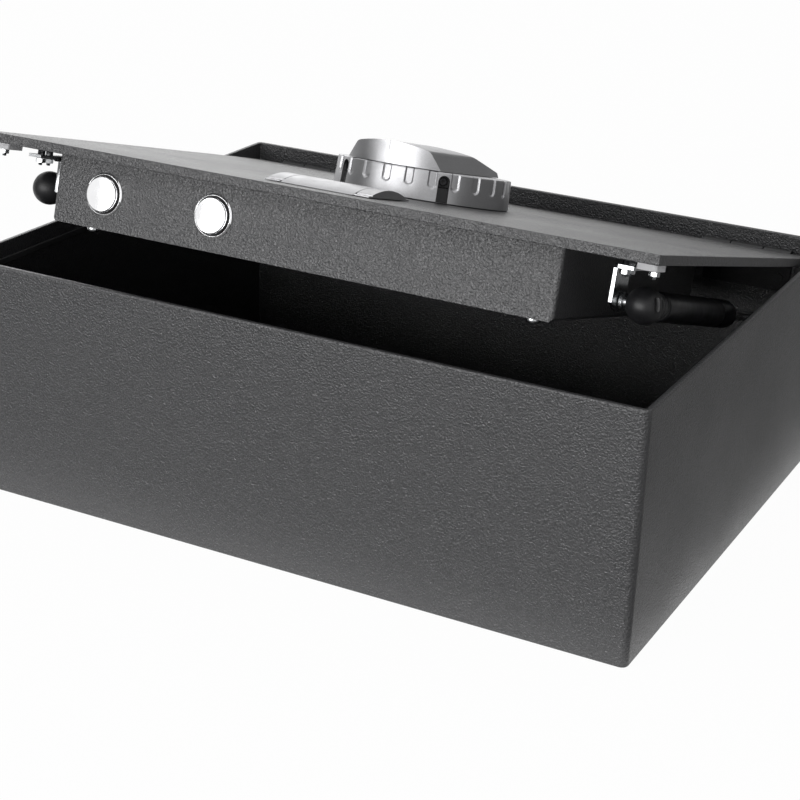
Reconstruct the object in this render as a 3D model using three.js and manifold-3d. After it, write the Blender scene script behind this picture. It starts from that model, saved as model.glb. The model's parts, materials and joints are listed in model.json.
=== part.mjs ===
// Top-opening steel safe with a fingerprint lock. Its lid stands part open on two gas struts.
// Millimetres, +Z up. The case stands on z = 0, centred on x = y = 0, with its front towards -Y.
// The lid is built closed, about its hinge axis, and its group is then turned open.
import * as THREE from "three";
import { mergeVertices } from "three/addons/utils/BufferGeometryUtils.js";
import Module from "manifold-3d";

const wasm = await Module();
wasm.setup();

// General clearances
const seat = 0.3; // between a piece and what it rests on
const running = 0.3; // round a shaft or pin that turns in its bore

// Case
const caseWidth = 400;
const caseDepth = 308;
const caseHeight = 134;
const wall = 3;
const cornerRadius = 4;
const edgeRound = 1.2;
const anchorHole = 4.5; // radius
const anchorInsetX = 60; // from the outside of the side wall
const anchorInsetY = 54; // from the outside of the front and rear walls
const matThickness = 2;
const matGap = 1;
const matHole = anchorHole + 7.5; // radius, round a bolt's washer

// Lid plate, and where it turns
const openAngle = THREE.MathUtils.degToRad(15.4);
const lidThickness = 5;
const lidSideGap = 4;
const lidFrontGap = 1;
const lidRecess = 9.9; // the closed lid's top face below the case rim
const keyPlace = 1.75; // key lock, right of the middle
const hingeSetback = 4.5; // hinge axis in front of the rear wall's inner face
const knuckleRadius = 4;
const axisBelowTop = 2.2; // hinge axis below the lid's top face
const knuckleGap = 0.8;

const innerX = caseWidth / 2 - wall;
const innerY = caseDepth / 2 - wall;
const axisY = innerY - hingeSetback;
const axisZ = caseHeight - lidRecess - axisBelowTop;
const lidHalf = innerX - lidSideGap;
const lidReach = axisY + innerY - lidFrontGap; // hinge axis to the lid's front edge

// Places on the lid: back from its front edge, and down from its top face
const back = (distance) => distance - lidReach;
const down = (distance) => axisBelowTop - distance;

// Hinges
const hingeInset = 44.5; // middle of a hinge, inside the lid's side edge
const hingeLength = 54;
const knuckleSplit = 0.6;
const middleKnuckle = 19.8;
const pinRadius = 1.6;
const pinHead = 2.8;
const leafThickness = 1.5;
const caseLeafDrop = 23;
const lidLeafReach = 34;
const rivetRadius = 3;
const rivetHeight = 1.3;
const rivetSpacing = 40;
const hingeCentre = lidHalf - hingeInset;

// Keeper channel inside the front wall: the lid rests on it, and the bolts hook under it
const keeperInset = 35; // inside the lid's side edge
const keeperReach = 4.5;
const keeperThickness = 1.6;
const keeperLipGap = 0.6; // over the bolts
const keeperHalf = lidHalf - keeperInset;

// Rubber strips along the side walls
const stripThickness = 1.5;
const stripHeight = 3.7;
const stripTop = 8.8; // below the rim
const stripFrontGap = 6;
const stripRearGap = 13;

// Lock housing under the lid
const housingInset = 48.5; // inside the lid's side edge
const housingFront = 8.5;
const housingLength = 206;
const housingDepth = 35.5; // below the lid's underside
const housingSheet = 1.5;
const housingCorner = 2;
const housingChamfer = 2.2;
const lipWidth = 9;
const lipInset = 5;
const coverSheet = 1.5;
const coverGap = 0.3;
const housingHalf = lidHalf - housingInset;
const housingRear = housingFront + housingLength;
const coverScrewLeft = 22.5; // inside the housing's sides
const coverScrewRight = 12.5;
const coverScrewPlaces = [-housingHalf + coverScrewLeft, housingHalf - coverScrewRight];
const coverScrewBack = 6.5; // from the front face of the housing
const screwShank = 1.5;
const screwHead = 3.2;
const screwHeadHeight = 2.6;

// Locking bolts and what drives them
const boltFromSide = 31; // left bolt's axis to the housing's side
const boltFromKey = 47.75; // right bolt's axis to the key lock
const boltPlaces = [-housingHalf + boltFromSide, keyPlace - boltFromKey];
const boltDepth = 22; // bolt axis below the lid's top face
const boltRadius = 9.25;
const boltProud = 3.4;
const boltLength = 34;
const boltChamfer = 0.7;
const collarBore = boltRadius + 0.4;
const collarSleeve = 10.5;
const collarFlange = 11.3;
const collarFlangeThickness = 0.8;
const collarRound = 0.4;
const collarLength = 22;
const barOverhang = 14;
const barEndOverhang = 34; // past the right bolt
const barThickness = 10;
const barHeight = 16;
const toothModule = 1;
const pinionTeeth = 12;
const gearWidth = 5;
const rackFromBolt = 32.9; // left bolt's axis to the rack's middle
const rackPlace = boltPlaces[0] + rackFromBolt;
const rackBody = 6;
const rackLength = 48;
const pinionBack = 78;
const toothBacklash = 0.32;
const addendum = 0.9;
const dedendum = 1.25;
const motorRadius = 8;
const motorHeight = 12.7;
const motorShaft = 1.5;

// Fingerprint module on top of the lid
const moduleBack = 148;
const moduleTurn = 1.5; // degrees, as it stands in the photograph
const moduleFoot = 49.5;
const moduleTop = 48.8;
const moduleHeight = 16.4;
const moduleWall = 4.2;
const moduleDeck = 2.2;
const grooveCount = 24;
const grooveWidth = 4.4;
const grooveDepth = 0.9;
const grooveFoot = 7.4;
const slotAngle = 37.5;
const slotWidth = 6.4;
const slotTop = 14.8;
const slotDepth = 3;
const slotScrew = 2.2;
const slotScrewHeight = 11.4;
const hoodFootHalf = 28.3;
const hoodTopHalf = 22;
const hoodShoulder = 26.2;
const hoodCrown = 28.7;
const hoodInset = 0.9; // inside the base's top rim
const hoodFlatLength = 4; // level behind the module's centre
const hoodRearLength = 47.6;
const hoodKnee = moduleBack + hoodFlatLength;
const hoodEnd = moduleBack + hoodRearLength;
const hoodEndHeight = 17.3;
const scannerWidth = 19;
const scannerLength = 24;
const scannerThickness = 3;
const scannerPlace = 0.44; // share of the way down the slope
const lightRadius = 1.6;
const lightDepth = 2.4;
const cableHole = 12;

// Key lock under its arched cover, near the lid's front edge
const keyBack = 46;
const archLength = 60.5;
const archWidth = 45;
const archHeight = 4.7;
const archSheet = 1.2;
const archHem = 3.5; // width of the cover's solid edge
const archPlate = 0.8;
const archEnd = 9;
const archEndInset = 4;
const archTongue = 15;
const coverSplit = 0.3;
const notchPlace = keyPlace - 16.25;
const notchLength = 5;
const notchWidth = 2;
const keyBarrel = 9;
const keyFlange = 10.5;
const keyFlangeThickness = 1.2;
const keyBarrelDepth = 24;
const plugRadius = 6;
const plugProud = 0.4;
const keywayWidth = 1.6;
const keywayHeight = 8;
const keywayDepth = 20;
const camThickness = 2.6;
const camReach = 11.5;
const camWidth = 5;

// Strut brackets, pads and nuts under the lid's front corners
const bracketInset = 32; // inside the lid's side edge
const bracketInner = lidHalf - bracketInset;
const bracketWidth = 13.5;
const bracketOuter = bracketInner + bracketWidth;
const bracketFront = 21;
const bracketLength = 30;
const bracketSheet = 1.8;
const bracketTop = 8.6; // below the lid's top face
const cornerCutWidth = 5.7; // slanted cut at the bracket's front inner corner
const cornerCutLength = 11;
const legDrop = 19; // leg's foot below the bracket's top, at its front end
const legFall = 4.8; // how much lower its foot is at the ball stud
const legFallLength = 8.5;
const spacerRadius = 2;
const studPlace = bracketInner + 8.2;
const studFront = 3.8; // behind the bracket's front edge
const studSpacing = 7;
const studBacks = [bracketFront + studFront, bracketFront + studFront + studSpacing];
const nutFlats = 4.5;
const nutHeight = 2.2;
const nutThread = 1.2;
const nutThreadEnd = 1.4;
const padInset = 3.5; // inside the lid's side edge
const padWidth = 10.1;
const padFront = 9;
const padLength = 13;
const padThickness = 3.2;
const padOuter = lidHalf - padInset;
const padInner = padOuter - padWidth;
const padNutPlace = padOuter - 3;
const padNutBack = padFront + padLength / 2;

// Gas struts
const strutInset = 17.8; // inside the lid's side edge
const strutX = lidHalf - strutInset;
const strutBack = 44;
const strutDepth = 27;
const strutSlope = THREE.MathUtils.degToRad(2.9); // against the lid
const ballRadius = 5;
const ballClearance = 0.4;
const studNeck = 2.8;
const studFlange = 4.6;
const studFlangeThickness = 2.2;
const socketRadius = 9.25;
const socketShank = 6.6;
const socketLength = 17;
const tubeRadius = 7.5;
const tubeEnd = 135;
const tubeBore = 6;
const tubeBottom = 40;
const tubeCap = 4;
const crimpPlace = 113;
const crimpDepth = 0.7;
const crimpWidth = 2.4;
const rodRadius = 3;
const pistonRadius = 5.6;
const pistonPlace = 92;
const pistonLength = 6;
const strutToHinge = 23.5; // rod end short of the hinge axis
const strutSpan = lidReach - strutBack - strutToHinge; // ball centre to rod-end centre
const rodEndRadius = 7;
const rodEndFlat = 6;
const rodShank = 4.4;
const rodShankLength = 16;
const openPivotGap = 0.7;
const anchorSheet = 1.8;
const anchorHalfLength = 11;
const anchorHalfHeight = 12;
const anchorStud = 3.2;

// Battery, boards and button inside the lock housing
const batteryLength = 48.5;
const batteryWidth = 26.5;
const batteryHeight = 17.5;
const batteryX = 55;
const batteryBack = housingRear - 51.5;
const batteryDepth = 19.6; // its upper face below the lid's top face
const holderWall = 1.5;
const holderGap = 0.4;
const doorOverlap = 4;
const doorSheet = 1.5;
const railSheet = 1.8;
const railLip = 2.4;
const boardX = housingHalf - 49.5;
const boardBack = 92;
const boardWidth = 70;
const boardLength = 64;
const boardThickness = 1.6;
const boardPost = 4;
const boardPostRadius = 2.5;
const boardPostInset = 5;
// Each part on the board: its place from the board's middle, its width, length and height
const boardParts = [
  [-14, -8, 14, 14, 2],
  [14, -12, 10, 18, 3.5],
  [10, 16, 12, 8, 6],
  [-20, 18, 8, 8, 9],
];
const buttonX = housingHalf - 36.5;
const buttonBack = housingRear - 24.5;
const buttonRadius = 3;
const buttonProud = 1.8;
const buttonFlange = 4.6;
const buttonFlangeThickness = 1.6;

// Geometry helpers
function toSolid(shape) {
  if (!shape.isBufferGeometry) return shape;
  const bare = new THREE.BufferGeometry();
  bare.setAttribute("position", shape.getAttribute("position"));
  if (shape.index) bare.setIndex(shape.index);
  const merged = mergeVertices(bare, 1e-4);
  const index = merged.index.array;
  const kept = [];
  for (let i = 0; i < index.length; i += 3) {
    const [a, b, c] = [index[i], index[i + 1], index[i + 2]];
    if (a !== b && b !== c && c !== a) kept.push(a, b, c);
  }
  const vertProperties = merged.attributes.position.array;
  const build = (list) =>
    new wasm.Manifold(
      new wasm.Mesh({ numProp: 3, vertProperties, triVerts: new Uint32Array(list) }),
    );
  const made = build(kept);
  return made.volume() < 0 ? build(kept.reverse()) : made;
}

const join = (first, ...rest) => rest.reduce((all, next) => all.add(toSolid(next)), toSolid(first));
const cut = (first, ...rest) =>
  rest.reduce((all, next) => all.subtract(toSolid(next)), toSolid(first));
const common = (first, ...rest) =>
  rest.reduce((all, next) => all.intersect(toSolid(next)), toSolid(first));

function toGeometry(solid) {
  const mesh = solid.getMesh();
  const geometry = new THREE.BufferGeometry();
  geometry.setAttribute("position", new THREE.BufferAttribute(mesh.vertProperties, 3));
  geometry.setIndex(new THREE.BufferAttribute(mesh.triVerts, 1));
  return geometry;
}

function block(x0, x1, y0, y1, z0, z1) {
  const size = [x1 - x0, y1 - y0, z1 - z0];
  const middle = [(x0 + x1) / 2, (y0 + y1) / 2, (z0 + z1) / 2];
  return new THREE.BoxGeometry(...size).translate(...middle);
}

// A lathe turned about the named axis; its profile is a list of [radius, distance along the axis]
function turned(axis, profile, u, v, sides = 24) {
  const points = profile.map(([r, t]) => new THREE.Vector2(r, t));
  const geometry = new THREE.LatheGeometry(points, sides);
  if (axis === "x") return geometry.rotateZ(-Math.PI / 2).translate(0, u, v);
  if (axis === "y") return geometry.translate(u, 0, v);
  return geometry.rotateX(Math.PI / 2).translate(u, v, 0);
}

const rod = (axis, radius, from, to, u, v, sides) =>
  turned(axis, [[0, from], [radius, from], [radius, to], [0, to]], u, v, sides);

// A flat outline pushed along an axis: [y, z] along x, [x, z] along y, or [x, y] along z
function prism(axis, outline, from, to) {
  const points = outline.map(([u, v]) =>
    axis === "y" ? new THREE.Vector2(v, u) : new THREE.Vector2(u, v),
  );
  const settings = { depth: to - from, bevelEnabled: false };
  const geometry = new THREE.ExtrudeGeometry(new THREE.Shape(points), settings);
  geometry.translate(0, 0, from);
  const turn = new THREE.Matrix4();
  if (axis === "x") turn.set(0, 0, 1, 0, 1, 0, 0, 0, 0, 1, 0, 0, 0, 0, 0, 1);
  if (axis === "y") turn.set(0, 1, 0, 0, 0, 0, 1, 0, 1, 0, 0, 0, 0, 0, 0, 1);
  return geometry.applyMatrix4(turn);
}

// Points round a rectangle with rounded corners
function roundedOutline(x0, x1, y0, y1, radius, steps = 4) {
  const corners = [
    [x1 - radius, y0 + radius, -90],
    [x1 - radius, y1 - radius, 0],
    [x0 + radius, y1 - radius, 90],
    [x0 + radius, y0 + radius, 180],
  ];
  return corners.flatMap(([cx, cy, start]) =>
    Array.from({ length: steps + 1 }, (_, i) => {
      const angle = THREE.MathUtils.degToRad(start + (90 * i) / steps);
      return [cx + radius * Math.cos(angle), cy + radius * Math.sin(angle)];
    }),
  );
}

// Height of a circular arch above its chord
function archAt(offset, halfWidth, height) {
  const radius = (halfWidth ** 2 + height ** 2) / (2 * height);
  return height - radius + Math.sqrt(radius ** 2 - offset ** 2);
}

function archPoints(half, span, rise, lift, steps) {
  return Array.from({ length: steps + 1 }, (_, i) => {
    const offset = half - (2 * half * i) / steps;
    return [offset, lift + archAt(offset, span, rise)];
  });
}

// Looks
const looks = {
  coat: { color: 0x3c3c3f, roughness: 0.62, metalness: 0.1 },
  coatDark: { color: 0x1d1d1f, roughness: 0.7, metalness: 0.1 },
  silver: { color: 0xc3c3c6, roughness: 0.34, metalness: 0.85 },
  chrome: { color: 0xe4e4e6, roughness: 0.08, metalness: 1 },
  zinc: { color: 0xc9cacb, roughness: 0.3, metalness: 1 },
  steel: { color: 0x8d8e90, roughness: 0.35, metalness: 1 },
  plastic: { color: 0x1a1a1b, roughness: 0.45, metalness: 0 },
  tubeBlack: { color: 0x17171a, roughness: 0.38, metalness: 0.3 },
  rubber: { color: 0x202022, roughness: 0.85, metalness: 0 },
  felt: { color: 0x141416, roughness: 1, metalness: 0 },
  pad: { color: 0xb9b9ba, roughness: 0.8, metalness: 0 },
  brass: { color: 0xb99a55, roughness: 0.35, metalness: 1 },
  board: { color: 0x1f5a35, roughness: 0.6, metalness: 0 },
  glass: { color: 0x0c1016, roughness: 0.08, metalness: 0 },
  lens: { color: 0x2f63b5, roughness: 0.25, metalness: 0 },
  red: { color: 0xb3261e, roughness: 0.45, metalness: 0 },
  cell: { color: 0x2a2c33, roughness: 0.4, metalness: 0.2 },
};
const materials = Object.fromEntries(
  Object.entries(looks).map(([name, look]) => [name, new THREE.MeshStandardMaterial(look)]),
);

const safe = new THREE.Group();
const lid = new THREE.Group();
lid.position.set(0, axisY, axisZ);
lid.rotation.x = -openAngle;
safe.add(lid);

function add(parent, name, shape, look) {
  const mesh = new THREE.Mesh(toGeometry(toSolid(shape)), materials[look]);
  mesh.name = name;
  parent.add(mesh);
  return mesh;
}

const sides = [
  ["left", -1],
  ["right", 1],
];
// A block given by its distances from the middle, on either side
const sideBlock = (sign, x0, x1, ...rest) =>
  block(Math.min(sign * x0, sign * x1), Math.max(sign * x0, sign * x1), ...rest);

// The four anchor holes through the floor
const anchorPlaces = [-1, 1].flatMap((sx) =>
  [-1, 1].map((sy) => [
    sx * (caseWidth / 2 - anchorInsetX),
    sy * (caseDepth / 2 - anchorInsetY),
  ]),
);

// Case shell: one folded and welded box with rounded corners and a rolled rim
{
  const halfX = caseWidth / 2 - edgeRound;
  const halfY = caseDepth / 2 - edgeRound;
  const outline = roundedOutline(-halfX, halfX, -halfY, halfY, cornerRadius - edgeRound, 4);
  const shape = new THREE.Shape(outline.map(([x, y]) => new THREE.Vector2(x, y)));
  const outer = new THREE.ExtrudeGeometry(shape, {
    depth: caseHeight - 2 * edgeRound,
    bevelEnabled: true,
    bevelThickness: edgeRound,
    bevelSize: edgeRound,
    bevelSegments: 2,
  }).translate(0, 0, edgeRound);
  const room = roundedOutline(-innerX, innerX, -innerY, innerY, cornerRadius - wall, 3);
  const holes = anchorPlaces.map(([x, y]) => rod("z", anchorHole, -1, wall + 1, x, y, 14));
  add(safe, "case_shell", cut(outer, prism("z", room, wall, caseHeight + 1), ...holes), "coat");
}

// Floor mat, loose on the case floor, punched for the anchor bolts' heads
{
  const x = innerX - matGap;
  const y = innerY - matGap;
  const mat = block(-x, x, -y, y, wall, wall + matThickness);
  const holes = anchorPlaces.map(([hx, hy]) => rod("z", matHole, 0, wall + matThickness + 1, hx, hy, 16));
  add(safe, "floor_mat", cut(mat, ...holes), "felt");
}

// Keeper channel, open to the rear
{
  const wallY = -innerY + seat;
  const lipY = -innerY + seat + keeperReach;
  const top = axisZ + down(lidThickness) - 0.6;
  const lip = axisZ + down(boltDepth) + boltRadius + keeperLipGap;
  const t = keeperThickness;
  const section = [
    [wallY, lip],
    [lipY, lip],
    [lipY, lip + t],
    [wallY + t, lip + t],
    [wallY + t, top - t],
    [lipY, top - t],
    [lipY, top],
    [wallY, top],
  ];
  add(safe, "keeper_channel", prism("x", section, -keeperHalf, keeperHalf), "coatDark");
}

// Edge strips on the side walls, level with the closed lid's edge
for (const [side, sign] of sides) {
  const top = caseHeight - stripTop;
  const y0 = -innerY + stripFrontGap;
  const y1 = innerY - stripRearGap;
  const inside = innerX - stripThickness;
  const strip = sideBlock(sign, inside, innerX, y0, y1, top - stripHeight, top);
  add(safe, `edge_strip_${side}`, strip, "rubber");
}

// Hinges: a leaf on the rear wall, a leaf under the lid and a pin through both
for (const [side, sign] of sides) {
  const first = hingeCentre - hingeLength / 2;
  const last = hingeCentre + hingeLength / 2;
  const midFirst = hingeCentre - middleKnuckle / 2;
  const midLast = hingeCentre + middleKnuckle / 2;
  const span = (a, b) => (sign > 0 ? [a, b] : [-b, -a]);
  const along = (radius, a, b, y, z, n) => rod("x", radius, ...span(a, b), y, z, n);
  const bore = (y, z) => along(pinRadius + running, first - 1, last + 1, y, z, 12);
  const leafY = innerY - seat;
  const rivetX = [hingeCentre - rivetSpacing / 2, hingeCentre + rivetSpacing / 2];

  const caseLeaf = join(
    sideBlock(sign, first, last, leafY - leafThickness, leafY, axisZ - caseLeafDrop, axisZ),
    along(knuckleRadius, first, midFirst - knuckleSplit, axisY, axisZ, 14),
    along(knuckleRadius, midLast + knuckleSplit, last, axisY, axisZ, 14),
  );
  const middleRoom = block(
    ...span(midFirst - knuckleSplit, midLast + knuckleSplit),
    axisY - knuckleRadius - 1,
    axisY + knuckleRadius + 0.5,
    axisZ - knuckleRadius - 0.5,
    axisZ + knuckleRadius + 1,
  );
  const rivetZ = axisZ - caseLeafDrop / 2 - 3;
  const caseRivets = rivetX.map((x) =>
    rod("y", rivetRadius, leafY - leafThickness - rivetHeight, leafY - 0.2, sign * x, rivetZ, 10),
  );
  const leafDone = cut(join(caseLeaf, ...caseRivets), middleRoom, bore(axisY, axisZ));
  add(safe, `hinge_case_leaf_${side}`, leafDone, "coatDark");

  const pin = join(
    along(pinRadius, first - 0.4, last + 0.6, axisY, axisZ, 12),
    along(pinHead, first - 1.7, first - 0.4, axisY, axisZ, 12),
  );
  add(safe, `hinge_pin_${side}`, pin, "zinc");

  const leafTop = down(lidThickness + seat);
  const lidLeaf = join(
    sideBlock(
      sign,
      first,
      last,
      -lidLeafReach,
      -knuckleRadius - knuckleGap,
      leafTop - leafThickness,
      leafTop,
    ),
    sideBlock(
      sign,
      midFirst,
      midLast,
      -knuckleRadius - knuckleGap - 1,
      0,
      leafTop - leafThickness,
      leafTop,
    ),
    along(knuckleRadius, midFirst, midLast, 0, 0, 14),
    ...rivetX.map((x) =>
      rod(
        "z",
        rivetRadius,
        leafTop - leafThickness - rivetHeight,
        leafTop - 0.2,
        sign * x,
        -lidLeafReach / 2 - 3,
        10,
      ),
    ),
  );
  add(lid, `hinge_lid_leaf_${side}`, cut(lidLeaf, bore(0, 0)), "coatDark");
}

// Lid plate, with the openings for the module's cable and the key lock
{
  const plate = block(
    -lidHalf,
    lidHalf,
    back(0),
    -knuckleRadius - knuckleGap,
    down(lidThickness),
    down(0),
  );
  const openings = [
    rod("z", cableHole, down(lidThickness + 1), down(-1), 0, back(moduleBack), 18),
    rod(
      "z",
      keyBarrel + running + 0.2,
      down(lidThickness + 1),
      down(-1),
      keyPlace,
      back(keyBack),
      20,
    ),
  ];
  add(lid, "lid_plate", cut(plate, ...openings), "coat");
}

// Lock housing: four folded walls with a lip at front and rear that carries the cover
const housingBottom = lidThickness + housingDepth;
const coverInner = housingBottom - seat - coverSheet;
const boltBore = collarSleeve + 0.3;
{
  const outline = roundedOutline(
    -housingHalf,
    housingHalf,
    back(housingFront),
    back(housingRear),
    housingCorner,
    3,
  );
  const s = housingSheet;
  const inner = [
    [-housingHalf + s, back(housingFront + s)],
    [housingHalf - s, back(housingFront + s)],
    [housingHalf - s, back(housingRear - s)],
    [-housingHalf + s, back(housingRear - s)],
  ];
  const c = housingChamfer;
  const front = [
    [-housingHalf, down(lidThickness + seat)],
    [-housingHalf, down(housingBottom - c)],
    [-housingHalf + c, down(housingBottom)],
    [housingHalf - c, down(housingBottom)],
    [housingHalf, down(housingBottom - c)],
    [housingHalf, down(lidThickness + seat)],
  ];
  const tall = [down(housingBottom + 1), down(lidThickness - 1)];
  const walls = cut(
    common(
      prism("z", outline, ...tall),
      prism("y", front, back(housingFront - 1), back(housingRear + 1)),
    ),
    prism("z", inner, ...tall),
  );
  const lipHalf = housingHalf - s - lipInset;
  const lipDepths = [down(coverInner - seat), down(coverInner - seat - s)];
  const lips = [
    block(
      -lipHalf,
      lipHalf,
      back(housingFront + s / 2),
      back(housingFront + s + lipWidth),
      ...lipDepths,
    ),
    block(
      -lipHalf,
      lipHalf,
      back(housingRear - s - lipWidth),
      back(housingRear - s / 2),
      ...lipDepths,
    ),
  ];
  const bores = boltPlaces.map((x) =>
    rod("y", boltBore, back(housingFront - 1), back(housingFront + s + 1), x, down(boltDepth), 24),
  );
  const screwBores = coverScrewPlaces.map((x) =>
    rod(
      "z",
      screwShank + running,
      down(housingBottom),
      down(coverInner - 6),
      x,
      back(housingFront + coverScrewBack),
      12,
    ),
  );
  add(lid, "lock_housing", cut(join(walls, ...lips), ...bores, ...screwBores), "coat");
}

// Cover plate under the lock housing, with the battery opening and its door rails
const doorHalfX = batteryLength / 2 + doorOverlap;
const doorHalfY = batteryWidth / 2 + doorOverlap;
{
  const edge = housingSheet + coverGap;
  const half = housingHalf - edge - housingChamfer;
  const plate = block(
    -half,
    half,
    back(housingFront + edge),
    back(housingRear - edge),
    down(coverInner + coverSheet),
    down(coverInner),
  );
  const opening = block(
    batteryX - batteryLength / 2,
    batteryX + batteryLength / 2,
    back(batteryBack - batteryWidth / 2),
    back(batteryBack + batteryWidth / 2),
    down(coverInner + coverSheet + 1),
    down(coverInner - 1),
  );
  const rails = [-1, 1].flatMap((sign) => {
    const inside = batteryX + sign * (doorHalfX + seat);
    const outside = inside + sign * railSheet;
    const lipEnd = inside - sign * railLip;
    const top = coverInner + coverSheet;
    const lipTop = top + seat + doorSheet + seat;
    const range = [back(batteryBack - doorHalfY), back(batteryBack + doorHalfY)];
    const between = (a, b) => [Math.min(a, b), Math.max(a, b)];
    const joint = top - 0.2;
    return [
      block(...between(inside, outside), ...range, down(lipTop + railSheet), down(joint)),
      block(...between(lipEnd, outside), ...range, down(lipTop + railSheet), down(lipTop)),
    ];
  });
  const buttonHole = rod(
    "z",
    buttonRadius + running,
    down(coverInner + coverSheet + 1),
    down(coverInner - 1),
    buttonX,
    back(buttonBack),
    16,
  );
  const screwHoles = coverScrewPlaces.map((x) =>
    rod(
      "z",
      screwShank + running,
      down(coverInner + coverSheet + 1),
      down(coverInner - 1),
      x,
      back(housingFront + coverScrewBack),
      12,
    ),
  );
  const done = cut(join(cut(plate, opening), ...rails), buttonHole, ...screwHoles);
  add(lid, "lock_cover", done, "coatDark");
}

// Two cover screws
coverScrewPlaces.forEach((x, i) => {
  const seatAt = coverInner + coverSheet + seat;
  const y = back(housingFront + coverScrewBack);
  const profile = [
    [0, down(seatAt + screwHeadHeight)],
    [screwHead * 0.7, down(seatAt + screwHeadHeight)],
    [screwHead, down(seatAt + screwHeadHeight * 0.6)],
    [screwHead, down(seatAt)],
    [screwShank, down(seatAt)],
    [screwShank, down(coverInner - 5)],
    [0, down(coverInner - 5)],
  ];
  add(lid, `cover_screw_${sides[i][0]}`, turned("z", profile, x, y, 12), "zinc");
});

// Locking bolts, their collars, and the bar that carries them
const bolts = new THREE.Group();
lid.add(bolts);
const boltTip = housingFront - boltProud;
const barFront = boltTip + boltLength + seat;
boltPlaces.forEach((x, i) => {
  const side = sides[i][0];
  const z = down(boltDepth);
  const boltProfile = [
    [0, back(boltTip)],
    [boltRadius - boltChamfer, back(boltTip)],
    [boltRadius, back(boltTip + boltChamfer)],
    [boltRadius, back(boltTip + boltLength)],
    [0, back(boltTip + boltLength)],
  ];
  add(bolts, `locking_bolt_${side}`, turned("y", boltProfile, x, z, 24), "chrome");

  const flangeBack = housingFront - seat;
  const flangeFront = flangeBack - collarFlangeThickness;
  const collarProfile = [
    [collarBore, back(flangeFront)],
    [collarFlange - collarRound, back(flangeFront)],
    [collarFlange, back(flangeFront + collarRound)],
    [collarFlange, back(flangeBack)],
    [collarSleeve, back(flangeBack)],
    [collarSleeve, back(housingFront + collarLength)],
    [collarBore, back(housingFront + collarLength)],
    [collarBore, back(flangeFront)],
  ];
  add(lid, `bolt_collar_${side}`, turned("y", collarProfile, x, z, 24), "chrome");
});

// Bolt bar with its rack
const pitchRadius = (toothModule * pinionTeeth) / 2;
const toothPitch = Math.PI * toothModule;
const pitchLine = rackPlace + rackBody / 2 + dedendum;
const pinionX = pitchLine + pitchRadius;
{
  const barRear = barFront + barThickness;
  const depths = [down(boltDepth + barHeight / 2), down(boltDepth - barHeight / 2)];
  const bar = block(
    boltPlaces[0] - barOverhang,
    boltPlaces[1] + barEndOverhang,
    back(barFront),
    back(barRear),
    ...depths,
  );
  const rackEnd = barRear + rackLength;
  const root = rackPlace + rackBody / 2;
  const tip = pitchLine + addendum;
  const outline = [[rackPlace - rackBody / 2, back(barRear - 1)]];
  outline.push([root, back(barRear - 1)]);
  // Teeth either side of a gap that faces the pinion's axis
  const pitchHalf = toothPitch / 4 - toothBacklash / 2;
  const rootHalf = pitchHalf + dedendum * Math.tan(THREE.MathUtils.degToRad(20));
  const tipHalf = pitchHalf - addendum * Math.tan(THREE.MathUtils.degToRad(20));
  for (let n = -40; n <= 40; n++) {
    const s = pinionBack + (n + 0.5) * toothPitch;
    if (s - rootHalf < barRear + 2 || s + rootHalf > rackEnd - 1) continue;
    outline.push([root, back(s - rootHalf)], [tip, back(s - tipHalf)]);
    outline.push([tip, back(s + tipHalf)], [root, back(s + rootHalf)]);
  }
  outline.push([root, back(rackEnd)], [rackPlace - rackBody / 2, back(rackEnd)]);
  const rack = prism(
    "z",
    outline,
    down(boltDepth + gearWidth / 2),
    down(boltDepth - gearWidth / 2),
  );
  add(bolts, "bolt_bar", join(bar, rack), "steel");
}

// Motor pinion
{
  const outline = [];
  const pitchHalf = (Math.PI / 4) * toothModule - toothBacklash / 2;
  const rows = [
    [pitchRadius - dedendum, -pitchHalf - 0.3],
    [pitchRadius + addendum, -pitchHalf + 0.42],
    [pitchRadius + addendum, pitchHalf - 0.42],
    [pitchRadius - dedendum, pitchHalf + 0.3],
  ];
  for (let n = 0; n < pinionTeeth; n++) {
    const middle = Math.PI + (2 * Math.PI * n) / pinionTeeth;
    for (const [radius, offset] of rows) {
      const angle = middle + Math.asin(offset / radius);
      outline.push([
        pinionX + radius * Math.cos(angle),
        back(pinionBack) + radius * Math.sin(angle),
      ]);
    }
  }
  const [z0, z1] = [down(boltDepth + gearWidth / 2), down(boltDepth - gearWidth / 2)];
  const bore = rod(
    "z",
    motorShaft + running,
    z0 - 1,
    z1 + 1,
    pinionX,
    back(pinionBack),
    12,
  );
  add(lid, "motor_pinion", cut(prism("z", outline, z0, z1), bore), "brass");
}

// Geared motor, hung from the lid, with its shaft down through the pinion
{
  const top = lidThickness + seat;
  const profile = [
    [0, down(boltDepth + gearWidth / 2 + 1)],
    [motorShaft, down(boltDepth + gearWidth / 2 + 1)],
    [motorShaft, down(top + motorHeight)],
    [motorRadius, down(top + motorHeight)],
    [motorRadius, down(top)],
    [0, down(top)],
  ];
  const mount = block(
    pinionX - motorRadius - 5,
    pinionX + motorRadius + 5,
    back(pinionBack + 2),
    back(pinionBack + 8),
    down(top + 1.5),
    down(top),
  );
  const body = turned("z", profile, pinionX, back(pinionBack), 18);
  add(lid, "gear_motor", join(body, mount), "zinc");
}

// Fingerprint module: a round base with grooves and screw slots, and a hood across it
const moduleY = back(moduleBack);
const moduleSeat = down(-seat);
const radialTurn = (angle) => THREE.MathUtils.degToRad(angle + moduleTurn);
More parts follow.
